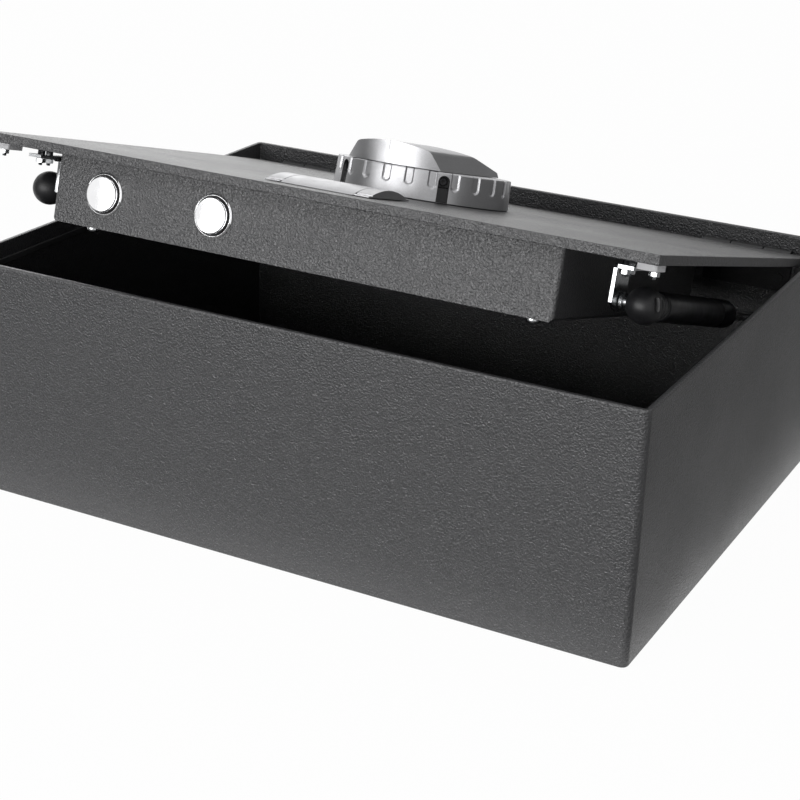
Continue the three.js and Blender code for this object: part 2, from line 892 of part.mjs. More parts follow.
// A cutter that stands across the base's wall at an angle from the front
function wallCutter(angle, width, foot, top, roundTop, inner, outer) {
  const r = width / 2;
  const arc = (sign, height) =>
    Array.from({ length: 5 }, (_, i) => {
      const a = Math.PI * (i / 4);
      return [sign * r * Math.cos(a), height + sign * r * Math.sin(a)];
    });
  const outline = roundTop
    ? [[-r, foot], [r, foot], ...arc(1, top - r)]
    : [[r, top], [-r, top], ...arc(-1, foot + r)];
  const cutter = prism("y", outline, -outer, -inner);
  return cutter.rotateZ(radialTurn(angle)).translate(0, moduleY, moduleSeat);
}
const slotAngles = [slotAngle, 180 - slotAngle, 180 + slotAngle, 360 - slotAngle];
{
  const top = moduleSeat + moduleHeight;
  const profile = [
    [moduleFoot - moduleWall, moduleSeat],
    [moduleFoot, moduleSeat],
    [moduleTop, top - 1],
    [moduleTop - 1, top],
    [0, top],
    [0, top - moduleDeck],
    [moduleTop - moduleWall, top - moduleDeck],
    [moduleFoot - moduleWall, moduleSeat],
  ];
  const base = turned("z", profile, 0, moduleY, 60);
  const near = (a, b) => Math.abs(((a - b + 540) % 360) - 180);
  const grooves = [];
  for (let i = 0; i < grooveCount; i++) {
    const angle = (360 / grooveCount) * i;
    if (slotAngles.some((s) => near(angle, s) < 6)) continue;
    const foot = grooveFoot;
    grooves.push(
      wallCutter(
        angle,
        grooveWidth,
        foot,
        moduleHeight + 1,
        false,
        moduleTop - grooveDepth,
        moduleFoot + 2,
      ),
    );
  }
  const slots = slotAngles.map((angle) =>
    wallCutter(angle, slotWidth, -1, slotTop, true, moduleTop - slotDepth, moduleFoot + 2),
  );
  const cable = rod("z", cableHole, top - moduleDeck - 1, top + 1, 0, moduleY, 18);
  add(lid, "module_base", cut(base, ...grooves, ...slots, cable), "silver");
}

// Module screws, one in each slot
slotAngles.forEach((angle, i) => {
  const inner = moduleTop - slotDepth + seat;
  const profile = [
    [0, inner],
    [slotScrew, inner],
    [slotScrew, inner + 1.2],
    [slotScrew * 0.75, inner + 1.7],
    [slotScrew * 0.4, inner + 1.7],
    [slotScrew * 0.4, inner + 0.9],
    [0, inner + 0.9],
  ];
  const screw = turned("y", profile, 0, slotScrewHeight, 10);
  screw.rotateZ(Math.PI + radialTurn(angle)).translate(0, moduleY, moduleSeat);
  add(lid, `module_screw_${i + 1}`, screw, "steel");
});

// Hood: a drafted, crowned band, cut round at its front and sloping down to the rear
const hoodFoot = moduleHeight + seat;
const slopeRise = hoodCrown - hoodEndHeight;
const slopeRun = hoodEnd - hoodKnee;
const slope = Math.atan2(slopeRise, slopeRun);
// A point on the slope, as a share of its length, and a depth into it
const onSlope = (share, depth) => [
  back(hoodKnee + share * slopeRun) - depth * Math.sin(slope),
  moduleSeat + hoodCrown - share * slopeRise - depth * Math.cos(slope),
];
{
  const crown = archPoints(hoodTopHalf, hoodTopHalf, hoodCrown - hoodShoulder, hoodShoulder, 8);
  const across = [[-hoodFootHalf, hoodFoot], [hoodFootHalf, hoodFoot], ...crown];
  const band = prism("y", across, back(moduleBack - 60), back(moduleBack + 60));
  const tall = hoodCrown + 4;
  const alongside = [
    [back(moduleBack - 60), hoodFoot],
    [back(moduleBack - 60), tall],
    [back(hoodKnee - 12), tall],
    [back(hoodKnee - 6), hoodCrown + 0.1],
    [back(hoodKnee + 4), hoodCrown - 0.75],
    [back(hoodEnd), hoodEndHeight],
    [back(hoodEnd), hoodFoot],
  ];
  const length = prism("x", alongside, -hoodFootHalf - 1, hoodFootHalf + 1);
  const plan = rod("z", moduleTop - hoodInset, 0, tall + 1, 0, moduleY, 72);
  const solid = toSolid(common(band.translate(0, 0, moduleSeat), length.translate(0, 0, moduleSeat),
    plan.translate(0, 0, moduleSeat)));
  const [sy, sz] = onSlope(scannerPlace, 0);
  const pocket = block(
    -scannerWidth / 2 - seat,
    scannerWidth / 2 + seat,
    -scannerLength / 2 - seat,
    scannerLength / 2 + seat,
    -scannerThickness - seat,
    5,
  );
  pocket.rotateX(-slope).translate(0, sy, sz);
  const [ly, lz] = onSlope(0.12, 0);
  const lightHole = rod("z", lightRadius + seat, -lightDepth - seat, 5, 0, 0, 14);
  lightHole.rotateX(-slope).translate(0, ly, lz);
  add(lid, "module_hood", cut(solid, pocket, lightHole), "silver");

  const scanner = block(
    -scannerWidth / 2,
    scannerWidth / 2,
    -scannerLength / 2,
    scannerLength / 2,
    -scannerThickness,
    -1.2,
  );
  scanner.rotateX(-slope).translate(0, sy, sz);
  add(lid, "fingerprint_scanner", scanner, "glass");

  const light = rod("z", lightRadius, -lightDepth, 0.1, 0, 0, 14);
  light.rotateX(-slope).translate(0, ly, lz);
  add(lid, "status_light", light, "lens");
}

// Key lock: base with two end blocks, barrel, turning plug, and a cover that lifts off
{
  const half = archLength / 2;
  const w = archWidth / 2;
  const low = down(-seat);
  const plateTop = low + archPlate;
  const blockHalf = w - archEndInset;
  const lift = (points) => points.map(([y, z]) => [back(keyBack) + y, low + z]);
  const ends = [-1, 1].flatMap((sign) => {
    const outer = keyPlace + sign * half;
    const inside = outer - sign * archEnd;
    const range = [Math.min(outer, inside), Math.max(outer, inside)];
    const profile = lift([
      ...archPoints(blockHalf, w, archHeight - seat, 0, 10),
      [-blockHalf, archPlate / 2],
      [blockHalf, archPlate / 2],
    ]);
    return [
      prism("x", profile, ...range),
      block(...range, back(keyBack - w), back(keyBack + w), low, plateTop),
    ];
  });
  const tongue = block(
    keyPlace - half + 1,
    keyPlace + half - 1,
    back(keyBack - archTongue),
    back(keyBack + archTongue),
    low,
    plateTop,
  );
  const hole = rod("z", keyBarrel + running, low - 1, plateTop + 1, keyPlace, back(keyBack), 20);
  add(lid, "key_base", cut(join(tongue, ...ends), hole), "silver");

  const coverHalf = half - archEnd - coverSplit;
  const outer = archPoints(w, w, archHeight - seat, 0, 18);
  const inner = archPoints(w - archHem, w, archHeight - seat, -archSheet, 16).reverse();
  const shell = prism("x", lift([...outer, ...inner]), keyPlace - coverHalf, keyPlace + coverHalf);
  const notch = block(
    notchPlace - notchLength / 2,
    notchPlace + notchLength / 2,
    back(keyBack - notchWidth / 2),
    back(keyBack + notchWidth / 2),
    low,
    low + archHeight + 1,
  );
  add(lid, "key_cover", cut(shell, notch), "silver");

  const flangeLow = plateTop + seat;
  const flangeTop = flangeLow + keyFlangeThickness;
  const plugBore = plugRadius + running;
  const barrel = [
    [plugBore, down(keyBarrelDepth)],
    [keyBarrel, down(keyBarrelDepth)],
    [keyBarrel, flangeLow],
    [keyFlange, flangeLow],
    [keyFlange, flangeTop],
    [plugBore, flangeTop],
    [plugBore, down(keyBarrelDepth)],
  ];
  add(lid, "key_barrel", turned("z", barrel, keyPlace, back(keyBack), 20), "chrome");

  const camTop = down(keyBarrelDepth + seat);
  const camLow = camTop - camThickness;
  const plugTop = flangeTop + plugProud;
  const plug = join(
    rod("z", plugRadius, camLow, plugTop, keyPlace, back(keyBack), 18),
    rod("z", plugRadius + 1.6, camLow, camTop, keyPlace, back(keyBack), 18),
    block(
      keyPlace - camWidth / 2,
      keyPlace + camWidth / 2,
      back(keyBack),
      back(keyBack + camReach),
      camLow,
      camTop,
    ),
  );
  const keyway = block(
    keyPlace - keywayWidth / 2,
    keyPlace + keywayWidth / 2,
    back(keyBack - keywayHeight / 2),
    back(keyBack + keywayHeight / 2),
    plugTop - keywayDepth,
    plugTop + 1,
  );
  add(lid, "key_plug", cut(plug, keyway), "brass");
}

// Strut brackets, their nuts, the ball studs and the corner pads
function nut(x, y, top) {
  const radius = nutFlats / 2 / Math.cos(Math.PI / 6);
  const hex = rod("z", radius, down(top + nutHeight), down(top), x, y, 6);
  const end = top + nutHeight + nutThreadEnd;
  return join(hex, rod("z", nutThread, down(end), down(top + 0.5), x, y, 8));
}
for (const [side, sign] of sides) {
  const under = lidThickness + seat;
  const front = back(bracketFront);
  const rear = back(bracketFront + bracketLength);
  const flangeEnd = bracketTop + bracketSheet;
  const legFront = back(bracketFront + cornerCutLength);
  const foot = down(bracketTop + legDrop);
  const footRear = down(bracketTop + legDrop + legFall);
  const flange = [
    [sign * bracketInner, legFront],
    [sign * (bracketInner + cornerCutWidth), front],
    [sign * bracketOuter, front],
    [sign * bracketOuter, rear],
    [sign * bracketInner, rear],
  ];
  const leg = [
    [legFront, foot],
    [legFront + legFallLength, footRear],
    [rear, footRear],
    [rear, down(bracketTop)],
    [legFront, down(bracketTop)],
  ];
  const legX = [sign * bracketInner, sign * (bracketInner + bracketSheet)];
  const bracket = join(
    prism("z", flange, down(flangeEnd), down(bracketTop)),
    prism("x", leg, Math.min(...legX), Math.max(...legX)),
    ...studBacks.map((s) =>
      rod("z", spacerRadius, down(bracketTop + 0.5), down(under), sign * studPlace, back(s), 12),
    ),
  );
  add(lid, `strut_bracket_${side}`, bracket, "zinc");
  studBacks.forEach((s, i) => {
    const name = `bracket_nut_${side}_${i ? "rear" : "front"}`;
    add(lid, name, nut(sign * studPlace, back(s), flangeEnd + seat), "zinc");
  });

  const pad = sideBlock(
    sign,
    padInner,
    padOuter,
    back(padFront),
    back(padFront + padLength),
    down(under + padThickness),
    down(under),
  );
  add(lid, `corner_pad_${side}`, pad, "pad");
  const padNut = nut(sign * padNutPlace, back(padNutBack), under + padThickness + seat);
  add(lid, `pad_nut_${side}`, padNut, "zinc");

  const flangeFrom = bracketInner + bracketSheet + seat;
  const flangeTo = flangeFrom + studFlangeThickness;
  const neckIn = strutX - Math.sqrt(ballRadius ** 2 - studNeck ** 2);
  const ballSteps = Array.from({ length: 7 }, (_, i) => {
    const start = Math.PI - Math.asin(studNeck / ballRadius);
    const angle = start * (1 - i / 6);
    return [ballRadius * Math.sin(angle), strutX + ballRadius * Math.cos(angle)];
  });
  ballSteps[6] = [0, strutX + ballRadius];
  const stud = [
    [0, flangeFrom],
    [studFlange, flangeFrom],
    [studFlange, flangeTo],
    [studNeck, flangeTo],
    [studNeck, neckIn],
    ...ballSteps.slice(1),
  ].map(([r, x]) => [r, sign * x]);
  const studShape = turned("x", stud, back(strutBack), down(strutDepth), 12);
  add(lid, `ball_stud_${side}`, studShape, "zinc");
}

// Gas struts: socket and tube turn on the ball stud, and the rod slides in the tube
const towards = new THREE.Vector3(0, 1, 0);
for (const [side, sign] of sides) {
  const strut = new THREE.Group();
  strut.position.set(sign * strutX, back(strutBack), down(strutDepth));
  strut.rotation.x = -strutSlope;
  lid.add(strut);

  const ballRoom = new THREE.SphereGeometry(ballRadius + ballClearance, 12, 8);
  const neckRoom = rod(
    "x",
    studNeck + 1.2,
    Math.min(0, -sign * (socketRadius + 1)),
    Math.max(0, -sign * (socketRadius + 1)),
    0,
    0,
    16,
  );
  const socket = cut(
    join(
      new THREE.SphereGeometry(socketRadius, 18, 10),
      rod("y", socketShank, 0, socketLength, 0, 0, 16),
    ),
    ballRoom,
    neckRoom,
  );
  add(strut, `strut_socket_${side}`, socket, "plastic");

  const start = socketLength + seat;
  const tubeProfile = [
    [0, start],
    [tubeRadius - 1, start],
    [tubeRadius, start + 1],
    [tubeRadius, crimpPlace - crimpWidth / 2],
    [tubeRadius - crimpDepth, crimpPlace],
    [tubeRadius, crimpPlace + crimpWidth / 2],
    [tubeRadius, tubeEnd - 1.5],
    [tubeRadius - 1.5, tubeEnd],
    [rodRadius + running, tubeEnd],
    [rodRadius + running, tubeEnd - tubeCap],
    [tubeBore, tubeEnd - tubeCap],
    [tubeBore, tubeBottom],
    [0, tubeBottom],
  ];
  add(strut, `strut_tube_${side}`, turned("y", tubeProfile, 0, 0, 18), "tubeBlack");

  const rodProfile = [
    [0, pistonPlace],
    [pistonRadius, pistonPlace],
    [pistonRadius, pistonPlace + pistonLength],
    [rodRadius, pistonPlace + pistonLength],
    [rodRadius, strutSpan - rodShankLength],
    [rodShank, strutSpan - rodShankLength],
    [rodShank, strutSpan],
    [0, strutSpan],
  ];
  const endBall = new THREE.SphereGeometry(rodEndRadius, 14, 8);
  endBall.translate(0, strutSpan, 0);
  const flat = sideBlock(sign, rodEndFlat, rodEndRadius + 2, strutSpan - 20, strutSpan + 20, -20, 20);
  const rodSolid = cut(join(turned("y", rodProfile, 0, 0, 14), endBall), flat);
  add(strut, `strut_rod_${side}`, rodSolid, "steel");

  // The anchor on the side wall stands where the rod end is with the lid as built
  strut.updateWorldMatrix(true, false);
  const end = towards.clone().multiplyScalar(strutSpan).applyMatrix4(strut.matrixWorld);
  const plateOut = innerX - seat;
  const plateIn = plateOut - anchorSheet;
  const studTip = strutX + rodEndFlat + openPivotGap;
  const plate = sideBlock(
    sign,
    plateIn,
    plateOut,
    end.y - anchorHalfLength,
    end.y + anchorHalfLength,
    end.z - anchorHalfHeight,
    end.z + anchorHalfHeight,
  );
  const [x0, x1] = [sign * studTip, sign * (plateIn + 0.5)];
  const stud = rod("x", anchorStud, Math.min(x0, x1), Math.max(x0, x1), end.y, end.z, 16);
  add(safe, `strut_anchor_${side}`, join(plate, stud), "zinc");
}

// Battery, its holder and its door
{
  const x0 = batteryX - batteryLength / 2;
  const x1 = batteryX + batteryLength / 2;
  const y0 = back(batteryBack - batteryWidth / 2);
  const y1 = back(batteryBack + batteryWidth / 2);
  const top = batteryDepth;
  add(lid, "battery", block(x0, x1, y0, y1, down(top + batteryHeight), down(top)), "cell");

  const g = holderGap;
  const w = holderWall;
  const foot = down(coverInner - seat);
  const outer = block(x0 - g - w, x1 + g + w, y0 - g - w, y1 + g + w, foot, down(top - seat - w));
  const room = block(x0 - g, x1 + g, y0 - g, y1 + g, foot - 1, down(top - seat));
  add(lid, "battery_holder", cut(outer, room), "plastic");

  const doorTop = coverInner + coverSheet + seat;
  const plate = block(
    batteryX - doorHalfX,
    batteryX + doorHalfX,
    back(batteryBack - doorHalfY),
    back(batteryBack + doorHalfY),
    down(doorTop + doorSheet),
    down(doorTop),
  );
  const ridges = [-1, 0, 1].map((n) =>
    block(
      batteryX - 10,
      batteryX + 10,
      back(batteryBack + doorHalfY - 6 + 2.4 * n),
      back(batteryBack + doorHalfY - 5 + 2.4 * n),
      down(doorTop + doorSheet + 0.8),
      down(doorTop + doorSheet - 0.2),
    ),
  );
  add(lid, "battery_door", join(plate, ...ridges), "plastic");
}

// Control board with its posts and parts, hung from the lid
{
  const under = lidThickness + seat;
  const face = under + boardPost;
  const x0 = boardX - boardWidth / 2;
  const x1 = boardX + boardWidth / 2;
  const s0 = boardBack - boardLength / 2;
  const s1 = boardBack + boardLength / 2;
  const plate = block(x0, x1, back(s0), back(s1), down(face + boardThickness), down(face));
  const inset = boardPostInset;
  const posts = [x0 + inset, x1 - inset].flatMap((x) =>
    [s0 + inset, s1 - inset].map((s) =>
      rod("z", boardPostRadius, down(face + 0.5), down(under), x, back(s), 12),
    ),
  );
  const parts = boardParts.map(([dx, ds, w, l, h]) =>
    block(
      boardX + dx - w / 2,
      boardX + dx + w / 2,
      back(boardBack + ds - l / 2),
      back(boardBack + ds + l / 2),
      down(face + boardThickness + h),
      down(face + boardThickness - 0.3),
    ),
  );
  add(lid, "control_board", join(plate, ...posts, ...parts), "board");
}

// Enrolment button, pressed from inside the open safe
{
  const flangeLow = coverInner - seat;
  const tip = coverInner + coverSheet + buttonProud;
  const profile = [
    [0, down(tip)],
    [buttonRadius - 0.5, down(tip)],
    [buttonRadius, down(tip - 0.5)],
    [buttonRadius, down(flangeLow)],
    [buttonFlange, down(flangeLow)],
    [buttonFlange, down(flangeLow - buttonFlangeThickness)],
    [0, down(flangeLow - buttonFlangeThickness)],
  ];
  add(lid, "enrol_button", turned("z", profile, buttonX, back(buttonBack), 14), "red");
}

export default safe;
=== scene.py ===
# %% [markdown]
# A top-opening steel safe, dressed for its portrait.
#
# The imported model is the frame: every node already has its real size and place, in metres. This lesson
# lays finer skins over the nodes that show, gives every surface its finish, and leaves the mechanics
# alone. Sizes that the frame knows are measured from it, so the dress always fits the body.

# %% Load the frame
import json
from math import atan2, cos, degrees, pi, radians, sin, sqrt

import bmesh
import bpy
from mathutils import Matrix, Vector


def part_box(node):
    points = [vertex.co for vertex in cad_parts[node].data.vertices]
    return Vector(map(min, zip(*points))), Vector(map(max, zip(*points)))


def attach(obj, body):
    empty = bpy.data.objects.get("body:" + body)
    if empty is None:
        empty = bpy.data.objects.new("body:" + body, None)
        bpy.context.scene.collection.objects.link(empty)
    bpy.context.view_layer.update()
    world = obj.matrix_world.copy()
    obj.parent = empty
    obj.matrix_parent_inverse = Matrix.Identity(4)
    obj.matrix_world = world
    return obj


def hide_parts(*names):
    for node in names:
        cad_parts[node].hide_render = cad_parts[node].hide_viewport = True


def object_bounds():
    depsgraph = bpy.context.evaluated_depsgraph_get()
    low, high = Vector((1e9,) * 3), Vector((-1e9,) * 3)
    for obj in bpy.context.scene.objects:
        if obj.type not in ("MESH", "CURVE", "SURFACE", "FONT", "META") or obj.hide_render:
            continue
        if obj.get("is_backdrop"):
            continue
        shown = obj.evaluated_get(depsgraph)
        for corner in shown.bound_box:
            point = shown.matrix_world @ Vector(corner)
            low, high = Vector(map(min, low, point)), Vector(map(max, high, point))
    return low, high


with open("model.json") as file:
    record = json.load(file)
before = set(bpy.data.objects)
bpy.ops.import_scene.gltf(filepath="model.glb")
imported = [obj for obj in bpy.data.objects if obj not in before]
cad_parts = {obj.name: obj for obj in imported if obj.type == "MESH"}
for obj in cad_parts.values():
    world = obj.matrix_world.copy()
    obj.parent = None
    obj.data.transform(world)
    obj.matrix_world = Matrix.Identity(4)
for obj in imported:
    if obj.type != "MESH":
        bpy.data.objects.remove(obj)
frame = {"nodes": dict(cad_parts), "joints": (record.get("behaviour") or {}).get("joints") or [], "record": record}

MM = 0.001
cad_box = [list(corner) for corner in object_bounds()]
for leftover in ("Cube", "Light", "Camera"):
    if leftover in bpy.data.objects:
        bpy.data.objects.remove(bpy.data.objects[leftover])
joints = {joint["name"]: joint for joint in frame["joints"]}

# %% [markdown]
# The lid stands open at an angle, so its pieces are easiest to draw in the lid's own axes: x to the
# right, y back from the front edge, z up from the top face. The joints give those directions, and a
# node measured along them gives the origin. Each strut gets axes of its own in the same way.

# %% Axes of the lid and of the struts
def axes(origin, x, y, z):
    """A matrix that turns coordinates along x, y and z from the origin into the frame's."""
    columns = Matrix((Vector(x), Vector(y), Vector(z))).transposed().to_4x4()
    return Matrix.Translation(origin) @ columns


def measure(node, space):
    """Lowest and highest corner of a node along other axes, in metres."""
    back = space.inverted()
    points = [back @ vertex.co for vertex in frame["nodes"][node].data.vertices]
    low = Vector([min(point[i] for point in points) for i in range(3)])
    high = Vector([max(point[i] for point in points) for i in range(3)])
    return low, high


RIGHT = Vector((1, 0, 0))
WORLD = Matrix.Identity(4)
lid_up = Vector(joints["key_cover_lift"]["axis"]).normalized()
lid_back = -Vector(joints["bolt_throw"]["axis"]).normalized()
hinge_axes = axes(Vector(joints["lid_hinge"]["pos_m"]), RIGHT, lid_back, lid_up)
plate_low, plate_high = measure("lid_plate", hinge_axes)
LID = hinge_axes @ Matrix.Translation((0, plate_low.y, plate_high.z))
STRUT = {}
for side in ("left", "right"):
    along = Vector(joints[f"strut_stroke_{side}"]["axis"]).normalized()
    ball = Vector(joints[f"strut_swing_{side}"]["pos_m"])
    STRUT[side] = axes(ball, RIGHT, along, RIGHT.cross(along))
print("lid opens", round(degrees(atan2(lid_up.y, lid_up.z)), 2), "degrees")

# %% [markdown]
# The camera comes first, because everything after it is judged through it. Its place, turn and lens
# were worked out from the straight edges of the case.

# %% Camera
CAMERA_PLACE = Vector((0.4523, -0.8932, 0.4515))
AZIMUTH = radians(27.155)
ELEVATION = radians(22.263)
ROLL = radians(2.217)
LENS = 83.38
SENSOR = 36.0


def look_axes(azimuth, elevation, roll):
    """Right, up and backward of a camera that stands at these angles and looks at the middle."""
    back = Vector((sin(azimuth) * cos(elevation), -cos(azimuth) * cos(elevation), sin(elevation)))
    right = (-back).cross(Vector((0, 0, 1))).normalized()
    up = right.cross(-back)
    return right * cos(roll) + up * sin(roll), up * cos(roll) - right * sin(roll), back


camera = bpy.data.objects.new("camera", bpy.data.cameras.new("camera"))
camera.data.lens = LENS
camera.data.sensor_width = SENSOR
camera.matrix_world = axes(CAMERA_PLACE, *look_axes(AZIMUTH, ELEVATION, ROLL))
bpy.context.scene.collection.objects.link(camera)
bpy.context.scene.camera = camera
bpy.context.scene.view_settings.view_transform = "Standard"
print("camera at", [round(v, 3) for v in CAMERA_PLACE])

# %% [markdown]
# Meshes are drawn by a handful of small makers: a turned shape, an extruded outline, a loft of rings
# and a boxed block. Each returns a closed mesh with its faces outwards, in local metres.

# %% Makers of shapes
def to_mesh(bm):
    """Turns a bmesh into a mesh, with doubles merged and faces outwards."""
    bmesh.ops.remove_doubles(bm, verts=bm.verts, dist=1e-7)
    bmesh.ops.recalc_face_normals(bm, faces=bm.faces)
    mesh = bpy.data.meshes.new("shape")
    bm.to_mesh(mesh)
    bm.free()
    return mesh


def arc(centre, radius, start, end, steps):
    """Points on an arc, with its angles in degrees."""
    turns = [radians(start + (end - start) * i / steps) for i in range(steps + 1)]
    return [(centre[0] + radius * cos(a), centre[1] + radius * sin(a)) for a in turns]


def join_rings(bm, a, b):
    """Faces between two rings of points. A ring of one point closes to a tip."""
    count = max(len(a), len(b))
    for i in range(count):
        j = (i + 1) % count
        corners = [a[i % len(a)], a[j % len(a)], b[j % len(b)], b[i % len(b)]]
        corners = list(dict.fromkeys(corners))
        if len(corners) > 2:
            bm.faces.new(corners)


def lathe(profile, sides=64):
    """A shape turned about z from [radius, height] points. A profile off the axis closes on itself."""
    bm = bmesh.new()
    rings = []
    for radius, height in profile:
        count = 1 if radius < 1e-9 else sides
        turns = [2 * pi * i / sides for i in range(count)]
        rings.append([bm.verts.new((radius * cos(a), radius * sin(a), height)) for a in turns])
    for a, b in zip(rings, rings[1:]):
        join_rings(bm, a, b)
    if profile[0][0] > 0:
        join_rings(bm, rings[-1], rings[0])
    return to_mesh(bm)


def loft(rings):
    """A skin over rings of points, capped at both ends."""
    bm = bmesh.new()
    made = [[bm.verts.new(point) for point in ring] for ring in rings]
    for a, b in zip(made, made[1:]):
        join_rings(bm, a, b)
    bm.faces.new(made[0])
    bm.faces.new(made[-1])
    return to_mesh(bm)


TURNS = {
    "x": lambda u, v, w: (w, u, v),
    "y": lambda u, v, w: (u, w, v),
    "z": lambda u, v, w: (u, v, w),
}


def extrude(outline, low, high, axis="z"):
    """An outline pushed along an axis: [y, z] along x, [x, z] along y, or [x, y] along z."""
    turn = TURNS[axis]
    return loft([[turn(u, v, w) for u, v in outline] for w in (low, high)])


def block(low, high):
    """A box between two opposite corners."""
    outline = [(low[0], low[1]), (high[0], low[1]), (high[0], high[1]), (low[0], high[1])]
    return extrude(outline, low[2], high[2])


def rounded(x0, x1, y0, y1, radius, steps=6):
    """The outline of a rectangle with round corners."""
    corners = [(x1, y0, -1, 1, -90), (x1, y1, -1, -1, 0), (x0, y1, 1, -1, 90), (x0, y0, 1, 1, 180)]
    points = []
    for x, y, sx, sy, start in corners:
        points += arc((x + sx * radius, y + sy * radius), radius, start, start + 90, steps)
    return points


print("makers ready")

# %% [markdown]
# Modifiers finish a shape: booleans cut it, a bevel rounds its edges, and weighted normals keep the
# flats flat to the eye. The result is read back as a plain mesh, so no modifier stays on a piece.

# %% Modifiers applied at once
def run(mesh, *modifiers):
    """The mesh that a stack of modifiers makes of this one."""
    holder = bpy.data.objects.new("holder", mesh)
    bpy.context.scene.collection.objects.link(holder)
    for kind, settings in modifiers:
        modifier = holder.modifiers.new(kind, kind)
        for key, value in settings.items():
            setattr(modifier, key, value)
    graph = bpy.context.evaluated_depsgraph_get()
    made = bpy.data.meshes.new_from_object(holder.evaluated_get(graph), depsgraph=graph)
    bpy.data.objects.remove(holder)
    return made


def combine(mesh, operation, others):
    """One boolean after another, each with its own helper object."""
    for other in others:
        tool = bpy.data.objects.new("tool", other)
        bpy.context.scene.collection.objects.link(tool)
        settings = {"object": tool, "operation": operation, "solver": "EXACT"}
        mesh = run(mesh, ("BOOLEAN", settings))
        bpy.data.objects.remove(tool)
    return mesh


def cut(mesh, *others):
    return combine(mesh, "DIFFERENCE", others)


def join(mesh, *others):
    return combine(mesh, "UNION", others)


def moved(mesh, matrix):
    """Applies a matrix to the mesh itself. A mirror turns the faces round, so they are flipped back."""
    mesh.transform(matrix)
    if matrix.to_3x3().determinant() < 0:
        mesh.flip_normals()
    return mesh


def smooth(mesh, angle=32):
    """Smooth shading, with edges sharper than the angle kept crisp."""
    mesh.shade_smooth()
    mesh.set_sharp_from_angle(angle=radians(angle))
    return mesh


EVEN_OUT = ("WEIGHTED_NORMAL", {"weight": 60, "keep_sharp": True})


def soften(mesh, width, segments=3, limit=28):
    """Rounds the edges, and keeps the flats flat."""
    mesh.shade_smooth()
    bevel = {
        "width": width,
        "segments": segments,
        "limit_method": "ANGLE",
        "angle_limit": radians(limit),
        "miter_outer": "MITER_ARC",
    }
    return run(mesh, ("BEVEL", bevel), EVEN_OUT)


def dressed(node, width, segments=2, limit=28):
    """A copy of a node's mesh, merged, with its flat faces whole and its edges rounded."""
    bm = bmesh.new()
    bm.from_mesh(frame["nodes"][node].data)
    bmesh.ops.remove_doubles(bm, verts=bm.verts, dist=2e-6)
    bmesh.ops.dissolve_limit(
        bm, angle_limit=radians(0.6), verts=bm.verts, edges=bm.edges, delimit={"NORMAL"}
    )
    return soften(to_mesh(bm), width, segments, limit)


print("modifiers ready")

# %% [markdown]
# Shader groups hold what several finishes share: the orange-peel grain of a coating, large soft
# smudges, drawn lines, and fine flakes. A group only gives masks, heights and values, and each
# material keeps its own shader. All of them read Object coordinates, so nothing slides.

# %% Shader groups
def place(tree, kind, values=None, **settings):
    """Adds a node. A value may be a number, a colour or the socket that feeds it."""
    node = tree.nodes.new(kind)
    for key, value in settings.items():
        setattr(node, key, value)
    for key, value in (values or {}).items():
        if isinstance(value, bpy.types.NodeSocket):
            tree.links.new(value, node.inputs[key])
        else:
            node.inputs[key].default_value = value
    return node


def new_group(name, inputs, outputs):
    """An empty shader group with named sockets, and its input and output nodes."""
    tree = bpy.data.node_groups.new(name, "ShaderNodeTree")
    for label, kind, default in inputs:
        socket = tree.interface.new_socket(label, in_out="INPUT", socket_type=kind)
        if default is not None:
            socket.default_value = default
    for label in outputs:
        tree.interface.new_socket(label, in_out="OUTPUT", socket_type="NodeSocketFloat")
    return tree, tree.nodes.new("NodeGroupInput"), tree.nodes.new("NodeGroupOutput")


VECTOR = ("Vector", "NodeSocketVector", None)
SIZE = ("Size", "NodeSocketFloat", 1.0)


def scaled(tree, vector, size, stretch=(1, 1, 1)):
    """Coordinates counted in lengths of the given size."""
    count = place(tree, "ShaderNodeMath", {0: 1.0, 1: size}, operation="DIVIDE")
    spread = place(tree, "ShaderNodeVectorMath", {0: vector, 1: stretch}, operation="MULTIPLY")
    values = {0: spread.outputs[0], 3: count.outputs[0]}
    return place(tree, "ShaderNodeVectorMath", values, operation="SCALE").outputs[0]


def make_grain():
    tree, source, target = new_group("coating_grain", [VECTOR, SIZE], ["Height", "Fleck"])
    at = scaled(tree, source.outputs["Vector"], source.outputs["Size"])
    cells = place(
        tree,
        "ShaderNodeTexVoronoi",
        {"Vector": at, "Scale": 1.0, "Smoothness": 0.7, "Randomness": 1.0},
        feature="SMOOTH_F1",
    )
    peel = place(
        tree,
        "ShaderNodeTexNoise",
        {"Vector": at, "Scale": 0.9, "Detail": 3.0, "Roughness": 0.55, "Distortion": 0.8},
    )
    height = place(
        tree,
        "ShaderNodeMath",
        {0: cells.outputs["Distance"], 1: 0.55, 2: peel.outputs["Fac"]},
        operation="MULTIPLY_ADD",
    )
    fine = place(tree, "ShaderNodeTexNoise", {"Vector": at, "Scale": 3.1, "Detail": 2.0})
    fleck = place(
        tree,
        "ShaderNodeMapRange",
        {"Value": fine.outputs["Fac"], "From Min": 0.36, "From Max": 0.68},
    )
    tree.links.new(height.outputs[0], target.inputs["Height"])
    tree.links.new(fleck.outputs["Result"], target.inputs["Fleck"])
    return tree


